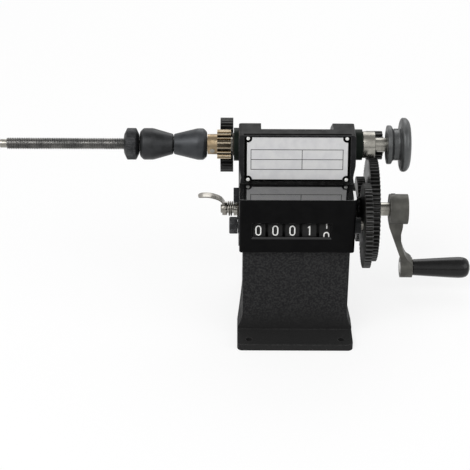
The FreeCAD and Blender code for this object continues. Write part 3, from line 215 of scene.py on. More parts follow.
class Effects:
    """Builds each shared effect once and hands it out by name."""

    made: dict[str, bpy.types.NodeTree] = {}

    @classmethod
    def _start(cls, name: str, inputs: dict[str, object], outputs: tuple[str, ...]
               ) -> tuple[bpy.types.NodeTree, Sheet, bpy.types.Node, bpy.types.Node]:
        """Makes an empty group with named sockets.

        Args:
            name: The group's name.
            inputs: Input names with their default values; None means a vector.
            outputs: Output names, all plain values.

        Returns:
            The group, its helper, its input node and its output node.
        """
        tree = bpy.data.node_groups.new(name, "ShaderNodeTree")
        for title, number in inputs.items():
            kind = "NodeSocketVector" if number is None else "NodeSocketFloat"
            socket = tree.interface.new_socket(title, in_out="INPUT", socket_type=kind)
            if number is not None:
                socket.default_value = number
        for title in outputs:
            tree.interface.new_socket(title, in_out="OUTPUT", socket_type="NodeSocketFloat")
        helper = Sheet(tree)
        cls.made[name] = tree
        return tree, helper, helper.add("NodeGroupInput"), helper.add("NodeGroupOutput")

    @classmethod
    def grain(cls) -> bpy.types.NodeTree:
        """Soft cloudy variation with finer grain in it.

        Returns:
            The group.
        """
        if "grain" in cls.made:
            return cls.made["grain"]
        tree, s, start, end = cls._start(
            "grain", {"Vector": None, "Scale": 200.0, "Fine": 1500.0}, ("Cloud", "Height")
        )
        cloud = s.add("ShaderNodeTexNoise")
        fine = s.add("ShaderNodeTexNoise")
        for node, scale, detail in ((cloud, "Scale", 4.0), (fine, "Fine", 3.0)):
            s.link(start.outputs["Vector"], node.inputs["Vector"])
            s.link(start.outputs[scale], node.inputs["Scale"])
            node.inputs["Detail"].default_value = detail
        s.link(s.span(cloud.outputs[0], 0.36, 0.64, 0.0, 1.0), end.inputs["Cloud"])
        s.link(fine.outputs[0], end.inputs["Height"])
        return tree

    @classmethod
    def edge_wear_and_highlight(cls) -> bpy.types.NodeTree:
        """A mask along sharp edges, broken up by noise, for a painted edge highlight that also stands for
        wear.

        Returns:
            The group.
        """
        if "edge_wear_and_highlight" in cls.made:
            return cls.made["edge_wear_and_highlight"]
        tree, s, start, end = cls._start(
            "edge_wear_and_highlight", {"Vector": None, "Radius": 0.0006, "Breakup": 300.0, "Amount": 0.6}, ("Mask",)
        )
        bevel = s.add("ShaderNodeBevel", samples=6)
        s.link(start.outputs["Radius"], bevel.inputs["Radius"])
        face = s.add("ShaderNodeNewGeometry")
        facing = s.add("ShaderNodeVectorMath", operation="DOT_PRODUCT")
        s.link(bevel.outputs[0], facing.inputs[0])
        s.link(face.outputs["Normal"], facing.inputs[1])
        # Edge mask for the painted highlight, partly wear, along sharp edges
        edge = s.span(s.math("SUBTRACT", 1.0, facing.outputs["Value"]), 0.015, 0.16, 0.0, 1.0)
        noise = s.add("ShaderNodeTexNoise")
        s.link(start.outputs["Vector"], noise.inputs["Vector"])
        s.link(start.outputs["Breakup"], noise.inputs["Scale"])
        broken = s.math("MULTIPLY", edge, s.span(noise.outputs[0], 0.35, 0.6, 0.25, 1.0))
        s.link(s.math("MULTIPLY", broken, start.outputs["Amount"], True), end.inputs["Mask"])
        return tree

    @classmethod
    def turning(cls) -> bpy.types.NodeTree:
        """Fine tool marks that ring a piece turned about X.

        Returns:
            The group.
        """
        if "turning" in cls.made:
            return cls.made["turning"]
        tree, s, start, end = cls._start("turning", {"Vector": None, "Scale": 2600.0}, ("Height",))
        parts = s.split(start.outputs["Vector"])
        noise = s.add("ShaderNodeTexNoise", noise_dimensions="1D")
        s.link(s.math("MULTIPLY", parts.outputs["X"], start.outputs["Scale"]), noise.inputs["W"])
        noise.inputs["Scale"].default_value = 1.0
        noise.inputs["Detail"].default_value = 2.0
        s.link(noise.outputs[0], end.inputs["Height"])
        return tree

    @classmethod
    def casting(cls) -> bpy.types.NodeTree:
        """The lumps and pits of sand-cast metal under paint.

        Returns:
            The group.
        """
        if "casting" in cls.made:
            return cls.made["casting"]
        tree, s, start, end = cls._start("casting", {"Vector": None, "Scale": 420.0}, ("Height", "Pits"))
        cells = s.add("ShaderNodeTexVoronoi", feature="SMOOTH_F1")
        noise = s.add("ShaderNodeTexNoise")
        for node in (cells, noise):
            s.link(start.outputs["Vector"], node.inputs["Vector"])
            s.link(start.outputs["Scale"], node.inputs["Scale"])
        noise.inputs["Detail"].default_value = 5.0
        height = s.math("ADD", s.math("MULTIPLY", cells.outputs["Distance"], 0.8), noise.outputs[0])
        s.link(height, end.inputs["Height"])
        s.link(s.span(noise.outputs[0], 0.42, 0.62, 0.0, 1.0), end.inputs["Pits"])
        return tree

    @classmethod
    def line_radius(cls) -> bpy.types.NodeTree:
        """The distance from a line along X, for tooth gaps and hubs.

        Returns:
            The group.
        """
        if "line_radius" in cls.made:
            return cls.made["line_radius"]
        tree, s, start, end = cls._start("line_radius", {"Vector": None, "Y": 0.0, "Z": 0.0}, ("Radius",))
        parts = s.split(start.outputs["Vector"])
        across = s.math("POWER", s.math("SUBTRACT", parts.outputs["Y"], start.outputs["Y"]), 2.0)
        up = s.math("POWER", s.math("SUBTRACT", parts.outputs["Z"], start.outputs["Z"]), 2.0)
        s.link(s.math("SQRT", s.math("ADD", across, up)), end.inputs["Radius"])
        return tree

    @classmethod
    def use(cls, sheet: Sheet, tree: bpy.types.NodeTree, vector: object, **numbers: float) -> bpy.types.Node:
        """Places a group in a material.

        Args:
            sheet: The material's helper.
            tree: The group.
            vector: The coordinate socket that it reads.
            numbers: Values for its inputs.

        Returns:
            The group node.
        """
        node = sheet.add("ShaderNodeGroup", node_tree=tree)
        sheet.link(vector, node.inputs["Vector"])
        for name, number in numbers.items():
            node.inputs[name].default_value = number
        return node


# Finishes


@dataclass(frozen=True)
class Finish:
    """A surface with cloudy colour, edges lightened by a painted highlight that also stands for wear, and
    fine relief.

    Colours are linear; scales are per metre.
    """

    name: str
    colour: Colour
    second: Colour
    # Edge colour: a painted highlight along sharp edges, partly wear
    edge: Colour
    edge_amount: float = 0.5
    edge_radius: float = 0.0005
    metallic: float = 0.0
    roughness: float = 0.45
    roughness_spread: float = 0.1
    specular: float = 0.5
    coat: float = 0.0
    coat_roughness: float = 0.08
    coat_ior: float = 1.5
    cloud_scale: float = 120.0
    fine_scale: float = 1400.0
    relief: float = 0.15
    relief_depth: float = 0.0001
    rings: float = 0.0
    grain_share: float = 0.3

    def relief_height(self, sheet: Sheet, vector: object, grain: bpy.types.Node) -> object:
        """The height that the bump reads.

        Args:
            sheet: The material's helper.
            vector: Object coordinates.
            grain: The grain group in this material.

        Returns:
            A socket.
        """
        if not self.rings:
            return grain.outputs["Height"]
        rings = Effects.use(sheet, Effects.turning(), vector, Scale=self.rings)
        fine = sheet.math("MULTIPLY", grain.outputs["Height"], self.grain_share)
        return sheet.math("ADD", rings.outputs["Height"], fine)

    def tint(self, sheet: Sheet, vector: object, grain: bpy.types.Node) -> object:
        """The colour before the painted edge highlight and wear.

        Args:
            sheet: The material's helper.
            vector: Object coordinates; not used here.
            grain: The grain group in this material.

        Returns:
            A colour socket.
        """
        return sheet.blend(grain.outputs["Cloud"], self.colour, self.second)

    def rough(self, sheet: Sheet, vector: object, grain: bpy.types.Node) -> object:
        """The roughness over the surface.

        Args:
            sheet: The material's helper.
            vector: Object coordinates; not used here.
            grain: The grain group in this material.

        Returns:
            A socket.
        """
        low, high = self.roughness - self.roughness_spread, self.roughness + self.roughness_spread
        return sheet.span(grain.outputs["Cloud"], 0.0, 1.0, max(low, 0.02), high)

    def material(self) -> bpy.types.Material:
        """The finish as a material, made on first use.

        Returns:
            The material.
        """
        title = self.name + "_finish"
        known = bpy.data.materials.get(title)
        if known:
            return known
        made = bpy.data.materials.new(title)
        made.use_nodes = True
        sheet = Sheet(made.node_tree)
        shader = sheet.found("BSDF_PRINCIPLED")
        vector = sheet.add("ShaderNodeTexCoord").outputs["Object"]
        grain = Effects.use(sheet, Effects.grain(), vector, Scale=self.cloud_scale, Fine=self.fine_scale)
        worn_highlit_edges = Effects.use(
            sheet, Effects.edge_wear_and_highlight(), vector, Radius=self.edge_radius, Amount=self.edge_amount
        )
        # Sharp edges take a painted highlight that partly stands for wear
        colour = sheet.blend(worn_highlit_edges.outputs["Mask"], self.tint(sheet, vector, grain), self.edge)
        sheet.link(colour, shader.inputs["Base Color"])
        sheet.link(self.rough(sheet, vector, grain), shader.inputs["Roughness"])
        bump = sheet.add("ShaderNodeBump")
        bump.inputs["Strength"].default_value = self.relief
        bump.inputs["Distance"].default_value = self.relief_depth
        sheet.link(self.relief_height(sheet, vector, grain), bump.inputs["Height"])
        sheet.link(bump.outputs[0], shader.inputs["Normal"])
        constants = {
            "Metallic": self.metallic, "Specular IOR Level": self.specular, "Coat Weight": self.coat,
            "Coat Roughness": self.coat_roughness, "Coat IOR": self.coat_ior,
        }
        for socket, number in constants.items():
            shader.inputs[socket].default_value = number
        self.finish_coat(sheet, shader)
        return made

    def finish_coat(self, sheet: Sheet, shader: bpy.types.Node) -> None:
        """Room for a finish whose coat differs over the surface.

        Args:
            sheet: The material's helper; not used here.
            shader: The material's main node; not used here.
        """


@dataclass(frozen=True)
class CastingPaint(Finish):
    """Black paint: rough and mottled on the stem and foot, smoother on the upper frame.

    The leaning face is given by a point on it and its lean; places are in metres.
    """

    lower: Colour = (0.031, 0.031, 0.031)
    lower_second: Colour = (0.014, 0.014, 0.015)
    # Painted shade that darkens the stem towards the foot
    foot_shade: Colour = (0.021, 0.021, 0.021)
    boss_colour: Colour = (0.009, 0.013, 0.010)
    # Painted shade on the lugs' upward faces
    lug_top_shade: Colour = (0.006, 0.006, 0.006)
    change_at: float = 0.086
    change_over: float = 0.004
    boss_from: float = 0.0487
    lug_from: float = 0.166
    face_point: Point = (-0.0069, 0.175)
    face_lean: float = 14.2
    recess_half: float = 0.0445
    recess_low: float = 0.1352
    recess_depth: float = 0.0007
    recess_reach: float = 0.003
    # Near-black painted shade in the plate's recess
    recess_shade: Colour = (0.0006, 0.0006, 0.0006)
    strip_top: float = 0.1420
    seam: float = 0.0002
    foot_shade_from: float = 0.006
    foot_shade_to: float = 0.03
    tint_scale: float = 640.0
    relief_scale: float = 520.0
    stem_roughness: Point = (0.52, 0.64)
    upper_drop: float = 0.22
    upper_relief: float = 0.16
    recess_rise: float = 0.6

    def _above(self, sheet: Sheet, vector: object) -> object:
        """1 on the upper frame and 0 on the stem."""
        height = sheet.split(vector).outputs["Z"]
        return sheet.span(height, self.change_at - self.change_over, self.change_at, 0.0, 1.0)

    def _recess(self, sheet: Sheet, vector: object) -> object:
        """1 inside the recess that holds the plate, and on the strip under it; the painted shade and the
        higher roughness go there.

        Args:
            sheet: The material's helper.
            vector: Object coordinates.

        Returns:
            A socket.
        """
        parts = sheet.split(vector)
        slope = math.tan(math.radians(self.face_lean))
        y, z = self.face_point
        lean = sheet.math("MULTIPLY", sheet.math("SUBTRACT", parts.outputs["Z"], z), slope)
        behind = sheet.math("SUBTRACT", sheet.math("SUBTRACT", parts.outputs["Y"], y), lean)
        deep = sheet.span(behind, self.recess_depth - self.seam, self.recess_depth, 0.0, 1.0)
        strip = sheet.span(parts.outputs["Z"], self.strip_top - self.seam, self.strip_top, 1.0, 0.0)
        deep = sheet.math("MAXIMUM", deep, strip)
        near = sheet.span(behind, self.recess_reach, self.recess_reach + self.seam, 1.0, 0.0)
        across = sheet.math("ABSOLUTE", parts.outputs["X"])
        inside = sheet.span(across, self.recess_half, self.recess_half + self.seam, 1.0, 0.0)
        high = sheet.span(parts.outputs["Z"], self.recess_low - self.seam, self.recess_low, 0.0, 1.0)
        outline = sheet.math("MULTIPLY", inside, high)
        return sheet.math("MULTIPLY", sheet.math("MULTIPLY", deep, near), outline)

    def tint(self, sheet: Sheet, vector: object, grain: bpy.types.Node) -> object:
        """Mottled on the stem with painted shade towards the foot, plain above with painted shade on the
        lugs' upward faces, and near-black painted shade in the recess.

        Args:
            sheet: The material's helper.
            vector: Object coordinates.
            grain: The grain group in this material.

        Returns:
            A colour socket.
        """
        cast = Effects.use(sheet, Effects.casting(), vector, Scale=self.tint_scale)
        parts = sheet.split(vector)
        stem = sheet.blend(cast.outputs["Pits"], self.lower_second, self.lower)
        # Painted shade darkening the stem near the foot
        foot_shade_mask = sheet.span(parts.outputs["Z"], self.foot_shade_from, self.foot_shade_to, 1.0, 0.0)
        stem = sheet.blend(foot_shade_mask, stem, self.foot_shade)
        upper = sheet.blend(grain.outputs["Cloud"], self.colour, self.second)
        facing = sheet.split(sheet.add("ShaderNodeNewGeometry").outputs["Normal"])
        # Painted shade on the upward faces of the lugs
        lug_top_shade_mask = sheet.math("MULTIPLY", sheet.span(facing.outputs["Z"], 0.5, 0.9, 0.0, 1.0),
                         sheet.span(parts.outputs["Z"], self.lug_from, self.lug_from + 0.001, 0.0, 1.0))
        upper = sheet.blend(lug_top_shade_mask, upper, self.lug_top_shade)
        across = sheet.math("ABSOLUTE", parts.outputs["X"])
        boss = sheet.span(across, self.boss_from, self.boss_from + 0.0003, 0.0, 1.0)
        upper = sheet.blend(boss, upper, self.boss_colour)
        # Near-black painted shade in the recess and on the strip under it
        upper = sheet.blend(self._recess(sheet, vector), upper, self.recess_shade)
        return sheet.blend(self._above(sheet, vector), stem, upper)

    def rough(self, sheet: Sheet, vector: object, grain: bpy.types.Node) -> object:
        """Rougher on the stem than above it.

        Args:
            sheet: The material's helper.
            vector: Object coordinates.
            grain: The grain group in this material.

        Returns:
            A socket.
        """
        plain = sheet.span(grain.outputs["Cloud"], 0.0, 1.0, *self.stem_roughness)
        drop = sheet.math("MULTIPLY", self._above(sheet, vector), self.upper_drop)
        rise = sheet.math("MULTIPLY", self._recess(sheet, vector), self.recess_rise)
        return sheet.math("ADD", sheet.math("SUBTRACT", plain, drop), rise)

    def relief_height(self, sheet: Sheet, vector: object, grain: bpy.types.Node) -> object:
        """Cast lumps, much flatter above the stem.

        Args:
            sheet: The material's helper.
            vector: Object coordinates.
            grain: The grain group in this material; not used here.

        Returns:
            A socket.
        """
        cast = Effects.use(sheet, Effects.casting(), vector, Scale=self.relief_scale)
        share = sheet.span(self._above(sheet, vector), 0.0, 1.0, 1.0, self.upper_relief)
        return sheet.math("MULTIPLY", cast.outputs["Height"], share)


@dataclass(frozen=True)
class CaseEnamel(Finish):
    """Black enamel: a mirror on the top, a weak gloss on the sill, satin on the upright faces."""

    top_coat: float = 1.0
    top_from: float = 0.13
    sill_share: float = 0.25

    def finish_coat(self, sheet: Sheet, shader: bpy.types.Node) -> None:
        """Puts the glossy coat on what faces up.

        Args:
            sheet: The material's helper.
            shader: The material's main node.
        """
        parts = sheet.split(sheet.add("ShaderNodeNewGeometry").outputs["Normal"])
        place = sheet.split(sheet.add("ShaderNodeTexCoord").outputs["Object"])
        facing = sheet.span(parts.outputs["Z"], 0.3, 0.55, 0.0, self.top_coat)
        height = sheet.span(place.outputs["Z"], self.top_from, self.top_from + 0.001, self.sill_share, 1.0)
        sheet.link(sheet.math("MULTIPLY", facing, height), shader.inputs["Coat Weight"])


@dataclass(frozen=True)
class BrushedSheet(Finish):
    """Aluminium sheet brushed along X."""

    brushing: Spot = (40.0, 3200.0, 3200.0)

    def relief_height(self, sheet: Sheet, vector: object, grain: bpy.types.Node) -> object:
        """Long fine strokes.

        Args:
            sheet: The material's helper.
            vector: Object coordinates.
            grain: The grain group in this material; not used here.

        Returns:
            A socket.
        """
        stretch = sheet.add("ShaderNodeMapping")
        stretch.inputs["Scale"].default_value = self.brushing
        sheet.link(vector, stretch.inputs["Vector"])
        noise = sheet.add("ShaderNodeTexNoise")
        noise.inputs["Scale"].default_value = 1.0
        sheet.link(stretch.outputs[0], noise.inputs["Vector"])
        return noise.outputs[0]


@dataclass(frozen=True)
class GearMetal(Finish):
    """Gear metal with painted shade in its tooth gaps and a painted highlight, partly bare worn metal, on its
    tooth tips.
    """

    line: Point = (0.0, 0.0)
    root_radius: float = 0.02
    tip_radius: float = 0.025
    # The gap colour is painted shade between the teeth
    gap: Colour = (0.01, 0.009, 0.008)
    # The tip colour is a painted highlight on the tooth tips, partly bare worn metal
    tip_highlight_and_wear: Colour = (0.2, 0.2, 0.2)
    tip_highlight_share: float = 0.5
    gap_shade_share: float = 0.9
    gap_reach: float = 0.75

    def tint(self, sheet: Sheet, vector: object, grain: bpy.types.Node) -> object:
        """Painted shade between the teeth and a painted highlight at their tips.

        Args:
            sheet: The material's helper.
            vector: Object coordinates.
            grain: The grain group in this material.

        Returns:
            A colour socket.
        """
        far = Effects.use(
            sheet, Effects.line_radius(), vector, Y=self.line[0] * MM, Z=self.line[1] * MM
        ).outputs["Radius"]
        plain = sheet.blend(grain.outputs["Cloud"], self.colour, self.second)
        depth = self.tip_radius - self.root_radius
        facing = sheet.split(sheet.add("ShaderNodeNewGeometry").outputs["Normal"])
        around = sheet.span(sheet.math("ABSOLUTE", facing.outputs["X"]), 0.3, 0.7, 1.0, 0.0)
        # Painted shade in the tooth gaps
        inside = sheet.span(far, self.root_radius, self.root_radius + self.gap_reach * depth, 1.0, 0.0)
        beyond = sheet.span(far, self.root_radius - 0.0004, self.root_radius - 0.0002, 0.0, 1.0)
        groove = sheet.math("MULTIPLY", sheet.math("MULTIPLY", inside, beyond), around)
        gap_shaded = sheet.blend(sheet.math("MULTIPLY", groove, self.gap_shade_share), plain, self.gap)
        # Painted highlight on the tooth tips, partly bare worn metal
        tip = sheet.span(far, self.tip_radius - 0.0002, self.tip_radius - 0.00005, 0.0, self.tip_highlight_share)
        return sheet.blend(sheet.math("MULTIPLY", tip, around), gap_shaded, self.tip_highlight_and_wear)


# Each finish's third colour is its painted edge highlight, partly wear
PAINT = CastingPaint("cast_black", (0.012, 0.012, 0.013), (0.018, 0.018, 0.019), (0.16, 0.16, 0.16),
                     edge_amount=0.42, edge_radius=0.0007, specular=0.05, relief=0.55, relief_depth=0.0006)
CASE = CaseEnamel("case_black", (0.0032, 0.0032, 0.0034), (0.0045, 0.0045, 0.0047), (0.16, 0.16, 0.16),
                  edge_amount=0.7, edge_radius=0.0006, roughness=0.4, specular=0.03, coat_roughness=0.03,
                  coat_ior=2.6, relief=0.02)
PLATE = BrushedSheet("plate_aluminium", (0.62, 0.62, 0.62), (0.55, 0.55, 0.56), (0.8, 0.8, 0.8),
                     edge_amount=0.5, metallic=0.35, roughness=0.42, relief=0.08, relief_depth=0.00005)
PRINT = Finish("plate_print", (0.012, 0.012, 0.012), (0.02, 0.02, 0.02), (0.03, 0.03, 0.03),
               edge_amount=0.1, roughness=0.5)
OXIDE = Finish("black_steel", (0.020, 0.021, 0.022), (0.032, 0.033, 0.035), (0.30, 0.30, 0.31),
               edge_amount=0.45, metallic=0.55, roughness=0.42, specular=0.3, rings=2400.0, relief=0.12)
OXIDE_BLUE = Finish("black_steel_blue", (0.032, 0.034, 0.037), (0.050, 0.053, 0.057), (0.32, 0.33, 0.35),
                    edge_amount=0.45, metallic=0.55, roughness=0.40, specular=0.3, rings=2400.0, relief=0.12)
PULLEY = Finish("pulley_grey", (0.078, 0.081, 0.082), (0.105, 0.108, 0.109), (0.34, 0.35, 0.35),
                edge_amount=0.45, metallic=0.55, roughness=0.42, specular=0.3, rings=2400.0, relief=0.12)
STEEL = Finish("steel", (0.36, 0.35, 0.315), (0.25, 0.24, 0.215), (0.70, 0.70, 0.68),
               edge_amount=0.4, metallic=1.0, roughness=0.26, rings=3200.0, relief=0.16)
THREAD = Finish("steel_thread", (0.24, 0.235, 0.225), (0.13, 0.13, 0.125), (0.6, 0.6, 0.6),
                edge_amount=0.3, edge_radius=0.0002, metallic=1.0, roughness=0.32)
GEAR_BLACK = Finish("gear_black", (0.012, 0.012, 0.012), (0.020, 0.020, 0.019), (0.16, 0.16, 0.15),
                    edge_amount=0.3, metallic=0.3, roughness=0.42, specular=0.2, relief=0.12)
BRONZE = Finish("bronze", (0.36, 0.28, 0.18), (0.24, 0.18, 0.11), (0.75, 0.64, 0.48),
                edge_amount=0.5, metallic=1.0, roughness=0.32, rings=2200.0, relief=0.14)
BUSH = Finish("bush_oiled", (0.040, 0.034, 0.026), (0.022, 0.019, 0.015), (0.2, 0.16, 0.1),
              edge_amount=0.3, metallic=0.8, roughness=0.4, rings=2200.0, relief=0.1)
NICKEL = Finish("nickel", (0.28, 0.265, 0.24), (0.16, 0.152, 0.137), (0.85, 0.84, 0.8),
                edge_amount=0.5, metallic=1.0, roughness=0.20)
BRIGHT = Finish("bright_screw", (0.85, 0.85, 0.83), (0.75, 0.75, 0.73), (0.95, 0.95, 0.95),
                edge_amount=0.3, metallic=0.4, roughness=0.3, relief=0.05)
ARM = Finish("arm_cast", (0.100, 0.098, 0.088), (0.076, 0.074, 0.066), (0.26, 0.25, 0.23),
             edge_amount=0.5, edge_radius=0.0008, metallic=0.5, roughness=0.5, specular=0.3, relief=0.4,
             relief_depth=0.0002, fine_scale=2200.0)
GRIP = Finish("grip_black", (0.005, 0.005, 0.005), (0.008, 0.008, 0.008), (0.03, 0.03, 0.03),
              edge_amount=0.2, roughness=0.2, roughness_spread=0.04, specular=0.2, coat=0.12, relief=0.02)
WHEEL = Finish("wheel_black", (0.008, 0.008, 0.008), (0.013, 0.013, 0.013), (0.05, 0.05, 0.05),
               edge_amount=0.3, roughness=0.5, specular=0.15, relief=0.05)
DIGIT = Finish("digit_white", (0.78, 0.78, 0.76), (0.70, 0.70, 0.68), (0.8, 0.8, 0.8),
               edge_amount=0.05, roughness=0.5, relief=0.03)


def gear_finish(name: str, like: Finish, line: Line, teeth: int, tip_highlight_and_wear: Colour,
                share: float) -> GearMetal:
    """A gear's finish from the plain metal's and the gear's own size.

    Args:
        name: The material's name.
        like: The plain metal.
        line: The shaft line that it turns on.
        teeth: Its count of teeth.
        tip_highlight_and_wear: The colour of its tooth tips, a painted highlight that partly stands for bare
            worn metal.
        share: How much of that colour shows.

    Returns:
        The finish.
    """
    return GearMetal(
        name, like.colour, like.second, like.edge, edge_amount=like.edge_amount, metallic=like.metallic,
        roughness=like.roughness, relief=like.relief, line=line.value,
        root_radius=(teeth / 2 - DEDENDUM) * GEAR_MODULE * MM,
        tip_radius=(teeth / 2 + 1) * GEAR_MODULE * MM,
        tip_highlight_and_wear=tip_highlight_and_wear, tip_highlight_share=share,
    )


# Mesh code


class Workshop:
    """Turns lists of points into pieces that ride on a body."""

    @staticmethod
    def piece(name: str, mesh: bpy.types.Mesh, finish: Finish, body: str, slot: str,
              replaces: tuple[str, ...] = (), crease: float = 32.0) -> bpy.types.Object:
        """Puts a mesh into the scene as a piece of the machine.

        Args:
            name: The piece's name.
            mesh: Its mesh, in metres, in the machine's own frame.
            finish: Its finish.
            body: The body that it rides on.
            slot: Not used.
            replaces: Solids that it stands for.
            crease: Edges that turn by more than this many degrees stay sharp.

        Returns:
            The new object.
        """
        mesh.materials.clear()
        mesh.materials.append(finish.material())
        for face in mesh.polygons:
            face.use_smooth = True
            face.material_index = 0
        mesh.set_sharp_from_angle(angle=math.radians(crease))
        made = bpy.data.objects.new(name, mesh)
        bpy.context.scene.collection.objects.link(made)
        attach(made, body)
        if replaces:
            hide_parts(*replaces)
        LOG.info("piece %s on %s: %d faces", name, body, len(mesh.polygons))
        return made

    @staticmethod
    def mesh_of(name: str, points: list[Spot], faces: list[Face]) -> bpy.types.Mesh:
        """A mesh from points in millimetres.

        Args:
            name: The mesh's name.
            points: Corners as (x, y, z).
            faces: Lists of corner numbers.

        Returns:
            The mesh, with its normals turned outward.
        """
        mesh = bpy.data.meshes.new(name)
        mesh.from_pydata([(x * MM, y * MM, z * MM) for x, y, z in points], [], faces)
        shape = bmesh.new()
        shape.from_mesh(mesh)
        bmesh.ops.remove_doubles(shape, verts=shape.verts, dist=1e-7)
        bmesh.ops.recalc_face_normals(shape, faces=shape.faces)
        shape.to_mesh(mesh)
        shape.free()
        return mesh

    @staticmethod
    def eased(profile: list[Point], radius: float, steps: int = 3) -> list[Point]:
        """Rounds the corners of a closed outline.

        Args:
            profile: Corners in order.
            radius: How far from a corner the rounding starts.
            steps: Points on each rounded corner, less one.

        Returns:
            The new outline.
        """
        rounded = []
        count = len(profile)
        for number, corner in enumerate(profile):
            here = Vector(corner)
            before = Vector(profile[number - 1]) - here
            after = Vector(profile[(number + 1) % count]) - here
            reach = min(radius, before.length * 0.4, after.length * 0.4)
            if abs(before.normalized().dot(after.normalized())) > 0.995 or reach < 0.02:
                rounded.append(corner)
                continue
            start = here + before.normalized() * reach
            end = here + after.normalized() * reach
            for step in range(steps + 1):
                share = step / steps
                spot = start.lerp(here, share).lerp(here.lerp(end, share), share)
                rounded.append((spot.x, spot.y))
        return rounded

    @staticmethod
    def lathe(name: str, profile: list[Point], line: Line, segments: int = 96, ease: float = 0.35,
              knurl: Knurl = Knurl.NONE, knurl_depth: float = 0.35,
              knurl_from: float = 0.0) -> bpy.types.Mesh:
        """Turns a closed outline of (x, radius) corners about a shaft line.

        Args:
            name: The mesh's name.
            profile: The outline, in millimetres.
            line: The shaft line.
            segments: Steps round the line.
            ease: How much each corner is rounded.
            knurl: Whether the rim is knurled.
            knurl_depth: How deep the knurl's grooves are.
            knurl_from: The radius from which the knurl shows.

        Returns:
            The mesh.
        """
        outline = Workshop.eased(profile, ease)
        y, z = line.value
        count = len(outline)
        points = []
        for turn in range(segments):
            angle = 2 * math.pi * turn / segments
            groove = knurl_depth if knurl is Knurl.STRAIGHT and turn % 4 in (0, 1) else 0.0
            for x, radius in outline:
                size = radius - groove if groove and radius > knurl_from else radius
                points.append((x, y + size * math.cos(angle), z + size * math.sin(angle)))
        faces = []
        for turn in range(segments):
            this, following = turn * count, (turn + 1) % segments * count
            for place in range(count):
                beside = (place + 1) % count
                if outline[place][1] < 1e-6 and outline[beside][1] < 1e-6:
                    continue
                faces.append([this + place, this + beside, following + beside, following + place])
        return Workshop.tidy(Workshop.mesh_of(name, points, faces))

    @staticmethod
    def tidy(mesh: bpy.types.Mesh) -> bpy.types.Mesh:
        """Removes corners and faces of no size.

        Args:
            mesh: The mesh to clean.

        Returns:
            The same mesh.
        """
        shape = bmesh.new()
        shape.from_mesh(mesh)
        bmesh.ops.dissolve_degenerate(shape, dist=1e-7, edges=shape.edges)
        bmesh.ops.recalc_face_normals(shape, faces=shape.faces)
        shape.to_mesh(mesh)
        shape.free()
        return mesh

    @staticmethod
    def softened(node: str, width: float, segments: int = 2, angle: float = 28.0) -> bpy.types.Mesh:
        """A copy of a solid's mesh with its edges rounded.

        Args:
            node: The solid's name.
            width: How wide the rounding is, in millimetres.
            segments: Faces across each rounded edge.
            angle: Only edges that turn by more than this many degrees are rounded.

        Returns:
            The rounded mesh.
        """
        source = bpy.data.objects.new(node + "_soft", SOLIDS[node].data.copy())
        bpy.context.scene.collection.objects.link(source)
        shape = bmesh.new()
        shape.from_mesh(source.data)
        bmesh.ops.remove_doubles(shape, verts=shape.verts, dist=2e-6)
        bmesh.ops.dissolve_limit(shape, angle_limit=math.radians(1.2), verts=shape.verts, edges=shape.edges)
        shape.to_mesh(source.data)
        shape.free()
        for face in source.data.polygons:
            face.use_smooth = True
        bevel = source.modifiers.new("rounding", "BEVEL")
        bevel.width = width * MM
        bevel.segments = segments
        bevel.limit_method = "ANGLE"
        bevel.angle_limit = math.radians(angle)
        bevel.use_clamp_overlap = True
        bevel.miter_outer = "MITER_ARC"
        weighted = source.modifiers.new("flat_faces", "WEIGHTED_NORMAL")
        weighted.mode = "FACE_AREA"
        weighted.weight = 100
        weighted.keep_sharp = True
        bpy.context.view_layer.update()
        ready = bpy.data.meshes.new_from_object(source.evaluated_get(bpy.context.evaluated_depsgraph_get()))
        bpy.data.objects.remove(source)
        ready.name = node + "_rounded"
        return ready


# Sub-assemblies


@dataclass
class Stand:
    """The casting and the pieces fixed in it."""

    edge_rounding: float = 0.8
    bolt_rounding: float = 0.3
    kept: dict[str, Finish] = field(default_factory=lambda: {
        "spindle_bushes": BUSH, "layshaft_bushes": BUSH, "crank_bushes": BUSH,
    })

    def build(self) -> None:
        """Rounds the casting and the bolt, and dresses the bushes."""
        Workshop.piece("stand_casting_rounded", Workshop.softened("stand_casting", self.edge_rounding),
                       PAINT, "frame", "cast_black", ("stand_casting",), 40.0)
        Workshop.piece("cheek_bolt_rounded", Workshop.softened("cheek_bolt", self.bolt_rounding),
                       OXIDE, "frame", "black_steel", ("cheek_bolt",))
        dress(self.kept)


